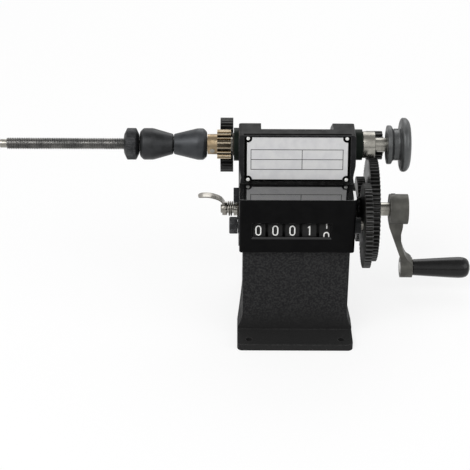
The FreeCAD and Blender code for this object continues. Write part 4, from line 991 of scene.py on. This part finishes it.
@dataclass
class NamePlate:
    """The bare plate with a ruled table and its screws. Places on it run from its top left corner."""

    width: float = 83.6
    height: float = 35.51
    lean: float = 14.2
    front: Point = (-10.32, 155.558)
    sheet: float = 1.0
    rule: float = 0.55
    table: tuple[float, float, float, float] = (3.3, 79.6, 10.3, 27.0)
    divider: float = 45.7
    middle: float = 18.6
    head_radius: float = 1.45
    head_rise: float = 0.9
    screw_inset: float = 0.9
    screw_drop: float = 0.2
    rule_sunk: float = 0.05
    rule_proud: float = 0.04
    head_rings: int = 8
    head_steps: int = 40
    head_fall: float = 0.9
    shank: float = 0.9
    cross_reach: float = 0.7
    cross_half: float = 0.24
    cross_depth: float = 0.45

    def spot(self, across: float, down: float, proud: float) -> Spot:
        """A point on the plate.

        Args:
            across: Distance from the left edge.
            down: Distance from the top edge.
            proud: Height above the plate's face.

        Returns:
            The point in millimetres.
        """
        slope = math.radians(self.lean)
        up = self.height / 2 - down
        out = self.sheet + proud
        y, z = self.front
        return (
            across - self.width / 2,
            y + up * math.sin(slope) - out * math.cos(slope),
            z + up * math.cos(slope) + out * math.sin(slope),
        )

    def bar(self, left: float, right: float, top: float, bottom: float, points: list[Spot],
            faces: list[Face]) -> None:
        """Adds one printed rule as a low bar.

        Args:
            left: Its left edge.
            right: Its right edge.
            top: Its top edge.
            bottom: Its bottom edge.
            points: Corners so far.
            faces: Faces so far.
        """
        first = len(points)
        for proud in (-self.rule_sunk, self.rule_proud):
            for across, down in ((left, top), (right, top), (right, bottom), (left, bottom)):
                points.append(self.spot(across, down, proud))
        for corners in ((0, 1, 2, 3), (4, 5, 6, 7), (0, 1, 5, 4), (1, 2, 6, 5), (2, 3, 7, 6), (3, 0, 4, 7)):
            faces.append([first + corner for corner in corners])

    def rules(self) -> bpy.types.Mesh:
        """The ruled table of two rows and two columns.

        Returns:
            The mesh.
        """
        points: list[Spot] = []
        faces: list[Face] = []
        left, right, top, bottom = self.table
        half = self.rule / 2
        for down in (top, self.middle, bottom):
            self.bar(left - half, right + half, down - half, down + half, points, faces)
        for across in (left, self.divider, right):
            for start, end in ((top, self.middle), (self.middle, bottom)):
                self.bar(across - half, across + half, start + half, end - half, points, faces)
        return Workshop.mesh_of("plate_rules", points, faces)

    def screws(self) -> bpy.types.Mesh:
        """Four domed heads with a cross cut in each.

        Returns:
            The mesh.
        """
        points: list[Spot] = []
        faces: list[Face] = []
        rings, steps = self.head_rings, self.head_steps
        for across in (self.screw_inset, self.width - self.screw_inset):
            for down in (self.screw_inset, self.height + self.screw_drop):
                first = len(points)
                for ring in range(rings + 1):
                    share = ring / rings
                    for step in range(steps):
                        angle = 2 * math.pi * step / steps
                        u = self.head_radius * share * math.cos(angle)
                        v = self.head_radius * share * math.sin(angle)
                        rise = self.head_rise * math.sqrt(max(0.0, 1 - self.head_fall * share ** 3))
                        if share < self.cross_reach and min(abs(u), abs(v)) < self.cross_half:
                            rise -= self.cross_depth
                        points.append(self.spot(across + u, down + v, rise))
                for step in range(steps):
                    angle = 2 * math.pi * step / steps
                    points.append(self.spot(across + self.head_radius * math.cos(angle),
                                            down + self.head_radius * math.sin(angle), -self.shank))
                for ring in range(rings + 1):
                    for step in range(steps):
                        beside = (step + 1) % steps
                        this, outer = first + ring * steps, first + (ring + 1) * steps
                        faces.append([this + step, this + beside, outer + beside, outer + step])
        return Workshop.tidy(Workshop.mesh_of("plate_screw_heads", points, faces))

    def build(self) -> None:
        """Makes the plate, its rules and its screws."""
        Workshop.piece("name_plate_sheet", Workshop.softened("name_plate", 0.15), PLATE, "frame",
                       "plate_aluminium", ("name_plate",))
        Workshop.piece("plate_rules", self.rules(), PRINT, "frame", "plate_aluminium")
        Workshop.piece("plate_screw_heads", self.screws(), BRIGHT, "frame", "nickel", ("name_plate_screws",))


@dataclass
class SpindleLine:
    """The spindle, its thread, cones, nut, collar, pinion and pulley."""

    rod_end: float = -252.5
    tip_length: float = 6.0
    tip_radius: float = 3.65
    rod_radius: float = 5.0
    thread_pitch: float = 1.5
    thread_depth: float = 0.8
    thread_steps: int = 48
    thread_form: tuple[float, float, float, float] = (0.0, 0.16, 0.52, 0.64)
    crest_clearance: float = 0.03
    rod_clearance: float = 0.04
    shaft_radius: float = 6.0
    shaft_bore: float = 6.05
    shoulder: float = -75.4
    shaft_end: float = 97.0
    nut: Point = (-146.3, -133.6)
    outer_cone: Point = (-132.8, -104.4)
    inner_cone: Point = (-104.0, -75.6)
    cone_radius: float = 13.5
    nose_radius: float = 8.6
    cone_bevel: float = 3.0
    inner_land: float = 8.0
    outer_land: float = 11.2
    nut_radius: float = 13.5
    nut_face: float = 8.3
    nut_bevel: float = 2.6
    nut_knurl_from: float = 12.2
    nut_knurl_depth: float = 0.45
    collar: Point = (56.9, 67.4)
    collar_radius: float = 11.45
    pulley: tuple[float, float, float, float] = (77.7, 83.0, 88.2, 97.0)
    groove_radius: float = 13.35
    small_flange: float = 16.6
    big_flange: float = 23.1
    line: Line = Line.SPINDLE

    def thread(self) -> bpy.types.Mesh:
        """The rod's helical thread, cut square at both ends.

        Returns:
            The mesh.
        """
        start, end = self.rod_end + self.tip_length, self.shoulder
        steps = self.thread_steps
        pitch = self.thread_pitch
        crest = self.rod_radius - self.crest_clearance
        root = self.rod_radius - self.thread_depth
        radii = (crest, crest, root, root)
        turns = int((end - start) / pitch) + 4
        y, z = self.line.value
        points = []
        for step in range(steps):
            angle = 2 * math.pi * step / steps
            for turn in range(turns):
                for radius, shift in zip(radii, self.thread_form):
                    x = start - 2 * pitch + pitch * (turn + shift - step / steps + 1)
                    points.append((x, y + radius * math.cos(angle), z + radius * math.sin(angle)))
        row = turns * 4
        faces = []
        for step in range(steps):
            for place in range(row - 1):
                if step < steps - 1:
                    after = (step + 1) * row + place
                    faces.append([step * row + place, step * row + place + 1, after + 1, after])
                elif place >= 4:
                    faces.append([step * row + place, step * row + place + 1, place - 3, place - 4])
        mesh = Workshop.mesh_of("rod_thread", points, faces)
        shape = bmesh.new()
        shape.from_mesh(mesh)
        for at, way in ((start, -1), (end, 1)):
            every = list(shape.verts) + list(shape.edges) + list(shape.faces)
            bmesh.ops.bisect_plane(shape, geom=every, dist=1e-8, plane_co=(at * MM, 0, 0),
                                   plane_no=(way, 0, 0), clear_outer=True)
            rim = [e for e in shape.edges if e.is_boundary and all(
                abs(v.co.x - at * MM) < 1e-7 for v in e.verts)]
            bmesh.ops.edgeloop_fill(shape, edges=rim)
        bmesh.ops.recalc_face_normals(shape, faces=shape.faces)
        shape.to_mesh(mesh)
        shape.free()
        return mesh

    def build(self) -> None:
        """Makes each piece of the line."""
        bore = self.rod_radius + self.rod_clearance
        shaft = [(self.shoulder, 0.0), (self.shaft_end, 0.0), (self.shaft_end, self.shaft_radius),
                 (self.shoulder, self.shaft_radius)]
        Workshop.piece("spindle_shaft", Workshop.lathe("spindle_shaft", shaft, self.line, ease=0.5), STEEL,
                       "spindle_line", "steel", ("spindle",))
        tip_end = self.rod_end + self.tip_length
        tip = [(self.rod_end, 0.0), (tip_end + 1, 0.0), (tip_end + 1, self.tip_radius),
               (self.rod_end, self.tip_radius)]
        Workshop.piece("rod_tip", Workshop.lathe("rod_tip", tip, self.line, ease=0.6), STEEL,
                       "spindle_line", "steel")
        Workshop.piece("rod_thread", self.thread(), THREAD, "spindle_line", "steel", crease=24.0)
        start, end = self.inner_cone
        cut = self.cone_bevel
        inner = [(start, bore), (end, bore), (end, self.cone_radius - cut), (end - cut, self.cone_radius),
                 (end - self.inner_land, self.cone_radius), (start, self.nose_radius)]
        Workshop.piece("inner_cone_turned", Workshop.lathe("inner_cone", inner, self.line, ease=1.2),
                       OXIDE_BLUE, "spindle_line", "black_steel", ("inner_cone",))
        start, end = self.outer_cone
        outer = [(end, bore), (start, bore), (start, self.cone_radius - cut),
                 (start + cut, self.cone_radius), (start + self.outer_land, self.cone_radius),
                 (end, self.nose_radius)]
        Workshop.piece("outer_cone_turned", Workshop.lathe("outer_cone", outer, self.line, ease=1.2), OXIDE,
                       "outer_cone", "black_steel", ("outer_cone",))
        start, end = self.nut
        nut = [(start, bore), (end, bore), (end, self.nut_face), (end - self.nut_bevel, self.nut_radius),
               (start + self.nut_bevel, self.nut_radius), (start, self.nut_face)]
        mesh = Workshop.lathe("knurled_nut", nut, self.line, 240, 0.5, Knurl.STRAIGHT, self.nut_knurl_depth,
                              self.nut_knurl_from)
        Workshop.piece("knurled_nut_cut", mesh, OXIDE, "clamp_nut", "black_steel", ("knurled_nut",), 24.0)
        start, end = self.collar
        bore = self.shaft_bore
        collar = [(start, bore), (end, bore), (end, self.collar_radius), (start, self.collar_radius)]
        Workshop.piece("shaft_collar_turned", Workshop.lathe("shaft_collar", collar, self.line, ease=0.8),
                       STEEL, "spindle_line", "steel", ("shaft_collar",))
        left, groove, big, right = self.pulley
        pulley = [(left, bore), (right, bore), (right, 17.9), (right - 0.5, 19.8), (right - 1.3, 21.1),
                  (right - 2.4, 22.4), (right - 3.9, self.big_flange), (big + 2.6, self.big_flange),
                  (big + 1.6, 22.3), (big + 1.0, 20.9), (big + 0.3, 17.0), (big, self.groove_radius),
                  (groove, self.groove_radius), (groove - 1.6, self.small_flange), (left, self.small_flange)]
        Workshop.piece("drive_pulley_turned", Workshop.lathe("drive_pulley", pulley, self.line, ease=0.9),
                       PULLEY, "spindle_line", "black_steel", ("drive_pulley",))
        dress({
            # The pinion's pale tip colour is a painted tooth-tip highlight, partly bare worn metal
            "spindle_pinion": gear_finish("pinion_bronze", BRONZE, self.line, 18, (0.72, 0.64, 0.50), 0.75),
            "pinion_set_screw": STEEL, "collar_set_screw": STEEL, "pulley_set_screw": PULLEY,
        })


@dataclass
class GearTrain:
    """The layshaft and the gears on the crank shaft."""

    # Each gear's tip colour and share set its painted tooth-tip highlight, partly bare worn metal
    gears: tuple[tuple[str, str, Line, int, Colour, float], ...] = (
        ("layshaft_gear", "layshaft_gear_black", Line.LAYSHAFT, 36, (0.04, 0.04, 0.035), 0.4),
        ("layshaft_pinion", "pinion_black", Line.LAYSHAFT, 18, (0.2, 0.2, 0.2), 0.5),
        ("crank_gear", "crank_gear_black", Line.CRANK, 72, (0.09, 0.09, 0.09), 0.4),
        ("counter_drive_gear", "drive_gear_black", Line.CRANK, 44, (0.24, 0.24, 0.24), 0.5),
        ("counter_gear", "counter_gear_black", Line.COUNTER, 55, (0.12, 0.12, 0.12), 0.4),
    )

    def build(self) -> None:
        """Dresses the gears, shafts and rings."""
        dress({"layshaft": STEEL, "layshaft_rings": STEEL, "gear_spacers": STEEL, "crank_shaft": STEEL})
        for node, title, line, teeth, tip_highlight_and_wear, share in self.gears:
            dress({node: gear_finish(title, GEAR_BLACK, line, teeth, tip_highlight_and_wear, share)})


@dataclass
class Crank:
    """The arm, its pin and the hand grip."""

    arm_rounding: float = 1.4
    grip: Point = (108.7, 159.9)
    neck_radius: float = 7.25
    end_radius: float = 9.6
    bore: float = 3.04

    def build(self) -> None:
        """Makes the arm, the grip and the pin."""
        Workshop.piece("crank_arm_rounded", Workshop.softened("crank_arm", self.arm_rounding, 3), ARM,
                       "crank_line", "arm_cast", ("crank_arm",), 40.0)
        start, end = self.grip
        outline = [(start, self.bore), (end, self.bore), (end, 4.6), (end - 0.7, 6.6), (end - 2.4, 8.3),
                   (end - 5.2, 9.3), (end - 9.0, self.end_radius), (end - 18.0, 9.2), (end - 30.0, 8.5),
                   (start + 6.0, 7.6), (start + 0.4, self.neck_radius), (start, self.neck_radius - 0.4)]
        Workshop.piece("hand_grip_turned", Workshop.lathe("hand_grip", outline, Line.GRIP, ease=2.0),
                       GRIP, "grip", "grip_black", ("hand_grip",), 50.0)
        dress({"grip_pin": STEEL, "crank_set_screw": OXIDE})


@dataclass
class DragPieces:
    """The sleeve, spring and lever nut at the crank shaft's left end."""

    hub: Point = (-62.8, -58.4)
    hub_radius: float = 6.0
    bore: float = 4.04
    sheet: float = 1.3
    width: float = 8.0
    ear_length: float = 21.0
    end_roundness: float = 0.8
    end_half: float = 0.6
    bend_steps: int = 8
    bend: tuple[Point, ...] = ((1.7, 5.32), (-1.27, 9.31), (-5.94, 11.7), (-11.45, 13.1), (-16.1, 13.3),
                               (-21.2, 12.5))

    def ear(self) -> bpy.types.Mesh:
        """The stamped ear, one smooth bend with a rounded end.

        Returns:
            The mesh.
        """
        path = self.smooth_path()
        points: list[Spot] = []
        y, z = Line.CRANK.value
        length = len(path)
        for number, (x, up) in enumerate(path):
            ahead = Vector(path[min(number + 1, length - 1)]) - Vector(path[max(number - 1, 0)])
            side = Vector((ahead.y, -ahead.x)).normalized() * (self.sheet / 2)
            left = (length - 1 - number) / (length - 1) * self.ear_length
            round_off = self.width / 2
            narrow = 0.0 if left > round_off else round_off - math.sqrt(
                max(0.0, round_off ** 2 - (round_off - left) ** 2))
            half = max(self.width / 2 - narrow * self.end_roundness, self.end_half)
            for turn in (-1, 1):
                for lift in (1, -1):
                    spread = turn * lift * half
                    points.append((self.hub[0] + x + side.x * turn, y + spread, z + up + side.y * turn))
        faces = []
        for number in range(length - 1):
            for corner in range(4):
                beside = (corner + 1) % 4
                this, following = number * 4, (number + 1) * 4
                faces.append([this + corner, this + beside, following + beside, following + corner])
        faces.append([0, 1, 2, 3])
        last = (length - 1) * 4
        faces.append([last, last + 1, last + 2, last + 3])
        return Workshop.mesh_of("lever_ear", points, faces)

    def smooth_path(self) -> list[Point]:
        """The ear's bend with extra points between the given ones.

        Returns:
            The points.
        """
        corners = [self.bend[0], *self.bend, self.bend[-1]]
        path = []
        for number in range(1, len(corners) - 2):
            a, b, c, d = (Vector(p) for p in corners[number - 1:number + 3])
            for step in range(self.bend_steps):
                u = step / self.bend_steps
                spot = 0.5 * (2 * b + (c - a) * u + (2 * a - 5 * b + 4 * c - d) * u ** 2
                              + (3 * b - 3 * c + d - a) * u ** 3)
                path.append((spot.x, spot.y))
        path.append(self.bend[-1])
        return path

    def build(self) -> None:
        """Makes the lever nut and dresses the spring and sleeve."""
        start, end = self.hub
        hub = [(start, self.bore), (end, self.bore), (end, self.hub_radius), (start, self.hub_radius)]
        Workshop.piece("lever_hub", Workshop.lathe("lever_hub", hub, Line.CRANK, ease=0.5), NICKEL,
                       "drag_nut", "nickel", ("lever_nut",))
        Workshop.piece("lever_ear", self.ear(), NICKEL, "drag_nut", "nickel")
        dress({"drag_spring": NICKEL, "drag_sleeve": STEEL})


class Strokes:
    """Plain digits drawn as strokes in a box 1 wide and 1.6 tall, from its centre."""

    tall: float = 1.6

    @staticmethod
    def arc(cx: float, cy: float, rx: float, ry: float, start: float, end: float) -> list[Point]:
        """Points on part of an ellipse.

        Args:
            cx: Centre across.
            cy: Centre up.
            rx: Half width.
            ry: Half height.
            start: First angle in degrees.
            end: Last angle in degrees.

        Returns:
            The points.
        """
        count = max(6, int(abs(end - start) / 12))
        angles = [math.radians(start + (end - start) * step / count) for step in range(count + 1)]
        return [(cx + rx * math.cos(a), cy + ry * math.sin(a)) for a in angles]

    @classmethod
    def digit(cls, number: int) -> list[list[Point]]:
        """The strokes of one digit.

        Args:
            number: 0 to 9.

        Returns:
            Lists of points.
        """
        arc = cls.arc
        shapes = {
            0: [arc(0, 0.32, 0.42, 0.42, 0, 180) + arc(0, -0.32, 0.42, 0.42, 180, 360) + [(0.42, 0.32)]],
            1: [[(-0.24, 0.46), (0.05, 0.74), (0.05, -0.74)]],
            2: [arc(0, 0.34, 0.42, 0.4, 160, -20) + [(-0.42, -0.74), (0.44, -0.74)]],
            3: [arc(-0.02, 0.37, 0.38, 0.37, 150, -90), arc(-0.02, -0.37, 0.42, 0.37, 90, -150)],
            4: [[(0.2, -0.74), (0.2, 0.74), (-0.42, -0.3), (0.44, -0.3)]],
            5: [[(0.38, 0.74), (-0.32, 0.74), (-0.36, 0.08)] + arc(0, -0.28, 0.42, 0.46, 130, -150)],
            6: [arc(0, -0.3, 0.42, 0.44, 0, 360), arc(0.12, 0.0, 0.54, 0.76, 60, 190)],
            7: [[(-0.42, 0.74), (0.42, 0.74), (-0.1, -0.74)]],
            8: [arc(0, 0.38, 0.34, 0.36, 0, 360), arc(0, -0.36, 0.42, 0.38, 0, 360)],
            9: [arc(0, 0.3, 0.42, 0.44, 0, 360), arc(-0.12, 0.0, 0.54, 0.76, -120, 10)],
        }
        return shapes[number]


@dataclass
class NumberWheel:
    """One number wheel with its ten digits."""

    label: str
    body: str
    centre: float
    shows: float
    radius: float = 17.5
    rim: float = 11.6
    ring: float = 14.0
    ring_radius: float = 13.3
    window_angle: float = 165.0
    height: float = 8.4
    width: float = 4.7
    stroke: float = 0.98
    bore: float = 3.04
    digit_turn: float = 36.0
    ink_proud: float = 0.07
    ink_sunk: float = 0.05
    longest_step: float = 0.8

    def wheel(self) -> bpy.types.Mesh:
        """The wheel itself.

        Returns:
            The mesh.
        """
        x, half, ring = self.centre, self.rim / 2, self.ring / 2
        outline = [(x - ring, self.bore), (x + ring, self.bore), (x + ring, self.ring_radius),
                   (x + half, self.ring_radius), (x + half, self.radius), (x - half, self.radius),
                   (x - half, self.ring_radius), (x - ring, self.ring_radius)]
        return Workshop.lathe(self.label, outline, Line.COUNTER, 120, 0.3)

    def on_wheel(self, across: float, up: float, lift: float) -> Spot:
        """A point on the rim.

        Args:
            across: Distance along X from the wheel's middle.
            up: Angle above the window's direction, in degrees.
            lift: Height above the rim.

        Returns:
            The point in millimetres.
        """
        y, z = Line.COUNTER.value
        angle = math.radians(self.window_angle - up)
        size = self.radius + lift
        return (self.centre + across, y + size * math.cos(angle), z + size * math.sin(angle))

    def digits(self) -> bpy.types.Mesh:
        """All ten digits as thin raised strokes.

        Returns:
            The mesh.
        """
        points: list[Spot] = []
        faces: list[Face] = []
        to_degrees = 180 / math.pi / self.radius
        for number in range(10):
            offset = (number - self.shows) * self.digit_turn
            for line in Strokes.digit(number):
                places = [(u * self.width, v * self.height / Strokes.tall) for u, v in line]
                self.stroke_mesh(self.closer(places), offset, to_degrees, points, faces)
        return Workshop.mesh_of(self.label + "_digits", points, faces)

    def closer(self, places: list[Point]) -> list[Point]:
        """The same line with points closer together.

        Args:
            places: The line's points, in millimetres.

        Returns:
            The new points, no further apart than the longest step.
        """
        close = [places[0]]
        for here, there in zip(places, places[1:]):
            gap = math.dist(here, there)
            count = max(1, math.ceil(gap / self.longest_step))
            for step in range(1, count + 1):
                share = step / count
                close.append((here[0] + (there[0] - here[0]) * share, here[1] + (there[1] - here[1]) * share))
        return close

    def stroke_mesh(self, line: list[Point], offset: float, scale: float, points: list[Spot],
                    faces: list[Face]) -> None:
        """Adds one stroke as a closed strip that hugs the rim.

        Args:
            line: The stroke's middle, in millimetres.
            offset: The digit's angle above the window, in degrees.
            scale: Degrees for each millimetre round the rim.
            points: Corners so far.
            faces: Faces so far.
        """
        first = len(points)
        count = len(line)
        shut = math.dist(line[0], line[-1]) < 0.05
        for number, place in enumerate(line):
            before = line[number - 1] if number else (line[-2] if shut else place)
            after = line[number + 1] if number < count - 1 else (line[1] if shut else place)
            way = Vector((after[0] - before[0], after[1] - before[1])).normalized()
            side = Vector((-way.y, way.x)) * (self.stroke / 2)
            for lift in (self.ink_proud, -self.ink_sunk):
                for turn in (1, -1):
                    u, v = place[0] + side.x * turn, place[1] + side.y * turn
                    points.append(self.on_wheel(u, offset + v * scale, lift))
        for number in range(count - 1):
            this, following = first + number * 4, first + (number + 1) * 4
            for a, b in ((0, 1), (1, 3), (3, 2), (2, 0)):
                faces.append([this + a, this + b, following + b, following + a])
        if not shut:
            for at in (first, first + (count - 1) * 4):
                faces.append([at, at + 1, at + 3, at + 2])

    def build(self) -> None:
        """Makes the wheel and its digits."""
        Workshop.piece(self.label + "_turned", self.wheel(), WHEEL, self.body, "wheel_black", (self.label,))
        Workshop.piece(self.label + "_digits", self.digits(), DIGIT, self.body, "wheel_black")


@dataclass
class Counter:
    """The counter's case, wheels, knob and drive."""

    pitch: float = 14.1
    first_wheel: float = -32.2
    case_rounding: float = 0.9
    knob: Point = (-55.8, -49.4)
    knob_radius: float = 7.1
    knob_bevel: float = 0.6
    knob_recess: float = 0.05
    knob_bore: float = 3.04
    knob_knurl_depth: float = 0.35
    knob_knurl_from: float = 6.8
    wheels: tuple[tuple[str, str, float], ...] = (
        ("number_wheel_ten_thousands", "ten_thousands_wheel", 0.0),
        ("number_wheel_thousands", "thousands_wheel", 0.0),
        ("number_wheel_hundreds", "hundreds_wheel", 0.0),
        ("number_wheel_tens", "tens_wheel", 1.0),
        ("number_wheel_units", "units_line", 0.48),
    )

    def build(self) -> None:
        """Makes the case, the wheels and the knob."""
        Workshop.piece("counter_case_rounded", Workshop.softened("counter_case", self.case_rounding, 3),
                       CASE, "frame", "case_black", ("counter_case",), 40.0)
        for number, (label, body, shows) in enumerate(self.wheels):
            NumberWheel(label, body, self.first_wheel + number * self.pitch, shows).build()
        start, end = self.knob
        bevel, floor, bore = self.knob_bevel, start - self.knob_recess, self.knob_bore
        knob = [(start - bevel, 0.0), (floor, 0.0), (floor, bore), (end, bore), (end, self.knob_radius),
                (start, self.knob_radius), (start - bevel, self.knob_radius - bevel)]
        mesh = Workshop.lathe("reset_knob", knob, Line.COUNTER, 160, 0.4, Knurl.STRAIGHT,
                              self.knob_knurl_depth, self.knob_knurl_from)
        Workshop.piece("reset_knob_cut", mesh, OXIDE, "reset_line", "black_steel", ("reset_knob",), 24.0)
        dress({
            "counter_bushes": OXIDE, "case_screws": NICKEL, "carry_shaft": STEEL, "carry_pinions": OXIDE,
            "counter_shaft": STEEL, "drive_sleeve": STEEL,
        })


def dress(finishes: dict[str, Finish]) -> None:
    """Gives solids that stay in view their finish.

    Args:
        finishes: The finish of each solid, by the solid's name.
    """
    for node, finish in finishes.items():
        solid = SOLIDS[node]
        solid.data.materials.clear()
        solid.data.materials.append(finish.material())
        LOG.info("dressed %s with %s", node, finish.name)


# Studio


@dataclass
class Studio:
    """The floor, the light and the camera."""

    floor_size: float = 12.0
    floor_grey: float = 0.9
    floor_glow: float = 0.8
    aim: Spot = (-0.02, 0.0, 0.1)
    camera_place: Spot = (-0.0515, -1.0481, 0.6811)
    elevation: float = 30.0
    roll: float = 0.22
    focal_pixels: float = 1400.0
    frame_pixels: float = 470.0
    sensor: float = 36.0
    ambient: float = 0.55
    horizon: float = 0.25
    band: float = 1.15
    overhead: float = 0.45
    lamps: tuple[tuple[str, Spot, float, float], ...] = (
        ("key", (-0.9, -1.1, 1.7), 1.2, 22.0),
        ("fill", (1.4, -0.8, 1.0), 1.4, 9.0),
        ("back", (0.2, 1.5, 1.4), 1.2, 9.0),
    )

    def seen(self, sheet: Sheet) -> object:
        """1 for camera, glossy and transmission rays.

        Args:
            sheet: The node tree's helper.

        Returns:
            A socket.
        """
        path = sheet.add("ShaderNodeLightPath")
        both = sheet.math("MAXIMUM", path.outputs["Is Camera Ray"], path.outputs["Is Glossy Ray"])
        return sheet.math("MAXIMUM", both, path.outputs["Is Transmission Ray"])

    def floor(self) -> None:
        """A plain white floor that keeps the machine's shadow."""
        half = self.floor_size / 2
        mesh = bpy.data.meshes.new("floor")
        mesh.from_pydata([(-half, -half, 0), (half, -half, 0), (half, half, 0), (-half, half, 0)], [],
                         [(0, 1, 2, 3)])
        made = bpy.data.objects.new("floor", mesh)
        bpy.context.scene.collection.objects.link(made)
        surface = bpy.data.materials.new("floor_white")
        surface.use_nodes = True
        sheet = Sheet(surface.node_tree)
        shader = sheet.found("BSDF_PRINCIPLED")
        end = sheet.found("OUTPUT_MATERIAL")
        shader.inputs["Base Color"].default_value = (self.floor_grey, self.floor_grey, self.floor_grey, 1.0)
        shader.inputs["Roughness"].default_value = 0.9
        shader.inputs["Specular IOR Level"].default_value = 0.0
        glow = sheet.add("ShaderNodeEmission")
        mix = sheet.add("ShaderNodeMixShader")
        sheet.link(sheet.math("MULTIPLY", self.seen(sheet), self.floor_glow), mix.inputs[0])
        sheet.link(shader.outputs[0], mix.inputs[1])
        sheet.link(glow.outputs[0], mix.inputs[2])
        sheet.link(mix.outputs[0], end.inputs["Surface"])
        mesh.materials.append(surface)
        made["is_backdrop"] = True

    def world(self) -> None:
        """A bright band in reflections, darker overhead and near the floor, and softer as light."""
        world = bpy.data.worlds.new("studio")
        bpy.context.scene.world = world
        world.use_nodes = True
        sheet = Sheet(world.node_tree)
        plain = sheet.found("BACKGROUND")
        end = sheet.found("OUTPUT_WORLD")
        plain.inputs["Color"].default_value = (1.0, 1.0, 1.0, 1.0)
        plain.inputs["Strength"].default_value = self.ambient
        white = sheet.add("ShaderNodeBackground")
        white.inputs["Color"].default_value = (1.0, 1.0, 1.0, 1.0)
        way = sheet.split(sheet.add("ShaderNodeTexCoord").outputs["Generated"])
        rise = sheet.span(way.outputs["Z"], 0.0, 0.3, self.horizon, self.band)
        fall = sheet.span(way.outputs["Z"], 0.6, 0.95, 1.0, self.overhead)
        sheet.link(sheet.math("MULTIPLY", rise, fall), white.inputs["Strength"])
        mix = sheet.add("ShaderNodeMixShader")
        sheet.link(self.seen(sheet), mix.inputs[0])
        sheet.link(plain.outputs[0], mix.inputs[1])
        sheet.link(white.outputs[0], mix.inputs[2])
        sheet.link(mix.outputs[0], end.inputs["Surface"])

    def lamp(self, name: str, place: Spot, size: float, power: float) -> None:
        """A soft square lamp aimed at the machine.

        Args:
            name: The lamp's name.
            place: Where it hangs, in metres.
            size: The length of its side.
            power: Its power in watts.
        """
        light = bpy.data.lights.new(name, "AREA")
        light.size = size
        light.energy = power
        made = bpy.data.objects.new(name, light)
        made.location = place
        aim = Vector(self.aim) - Vector(place)
        made.rotation_mode = "QUATERNION"
        made.rotation_quaternion = aim.to_track_quat("-Z", "Y")
        bpy.context.scene.collection.objects.link(made)

    def camera(self) -> None:
        """The camera at the photograph's angle."""
        data = bpy.data.cameras.new("camera")
        data.sensor_width = self.sensor
        data.lens = self.focal_pixels / self.frame_pixels * self.sensor
        made = bpy.data.objects.new("camera", data)
        made.location = self.camera_place
        tilt = Euler((math.radians(90 - self.elevation), 0.0, 0.0)).to_quaternion()
        made.rotation_mode = "QUATERNION"
        made.rotation_quaternion = tilt @ Quaternion((0.0, 0.0, 1.0), math.radians(self.roll))
        bpy.context.scene.collection.objects.link(made)
        bpy.context.scene.camera = made

    def build(self) -> None:
        """Sets up the whole studio."""
        bpy.context.scene.view_settings.view_transform = "Standard"
        self.floor()
        self.world()
        for name, place, size, power in self.lamps:
            self.lamp(name, place, size, power)
        self.camera()


def corners() -> list[list[float]]:
    """The lowest and highest corner of what is shown, as plain lists."""
    low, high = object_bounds()
    return [list(low), list(high)]


def main() -> None:
    """Loads the solids, sets up the studio and builds each sub-assembly in order."""
    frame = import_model()
    SOLIDS.update(frame["nodes"])
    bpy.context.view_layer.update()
    Studio().build()
    for part in (Stand(), NamePlate(), SpindleLine(), GearTrain(), Crank(), DragPieces(), Counter()):
        LOG.info("building %s", type(part).__name__)
        part.build()


if __name__ == "__main__":
    logging.basicConfig(level=logging.INFO)
    main()
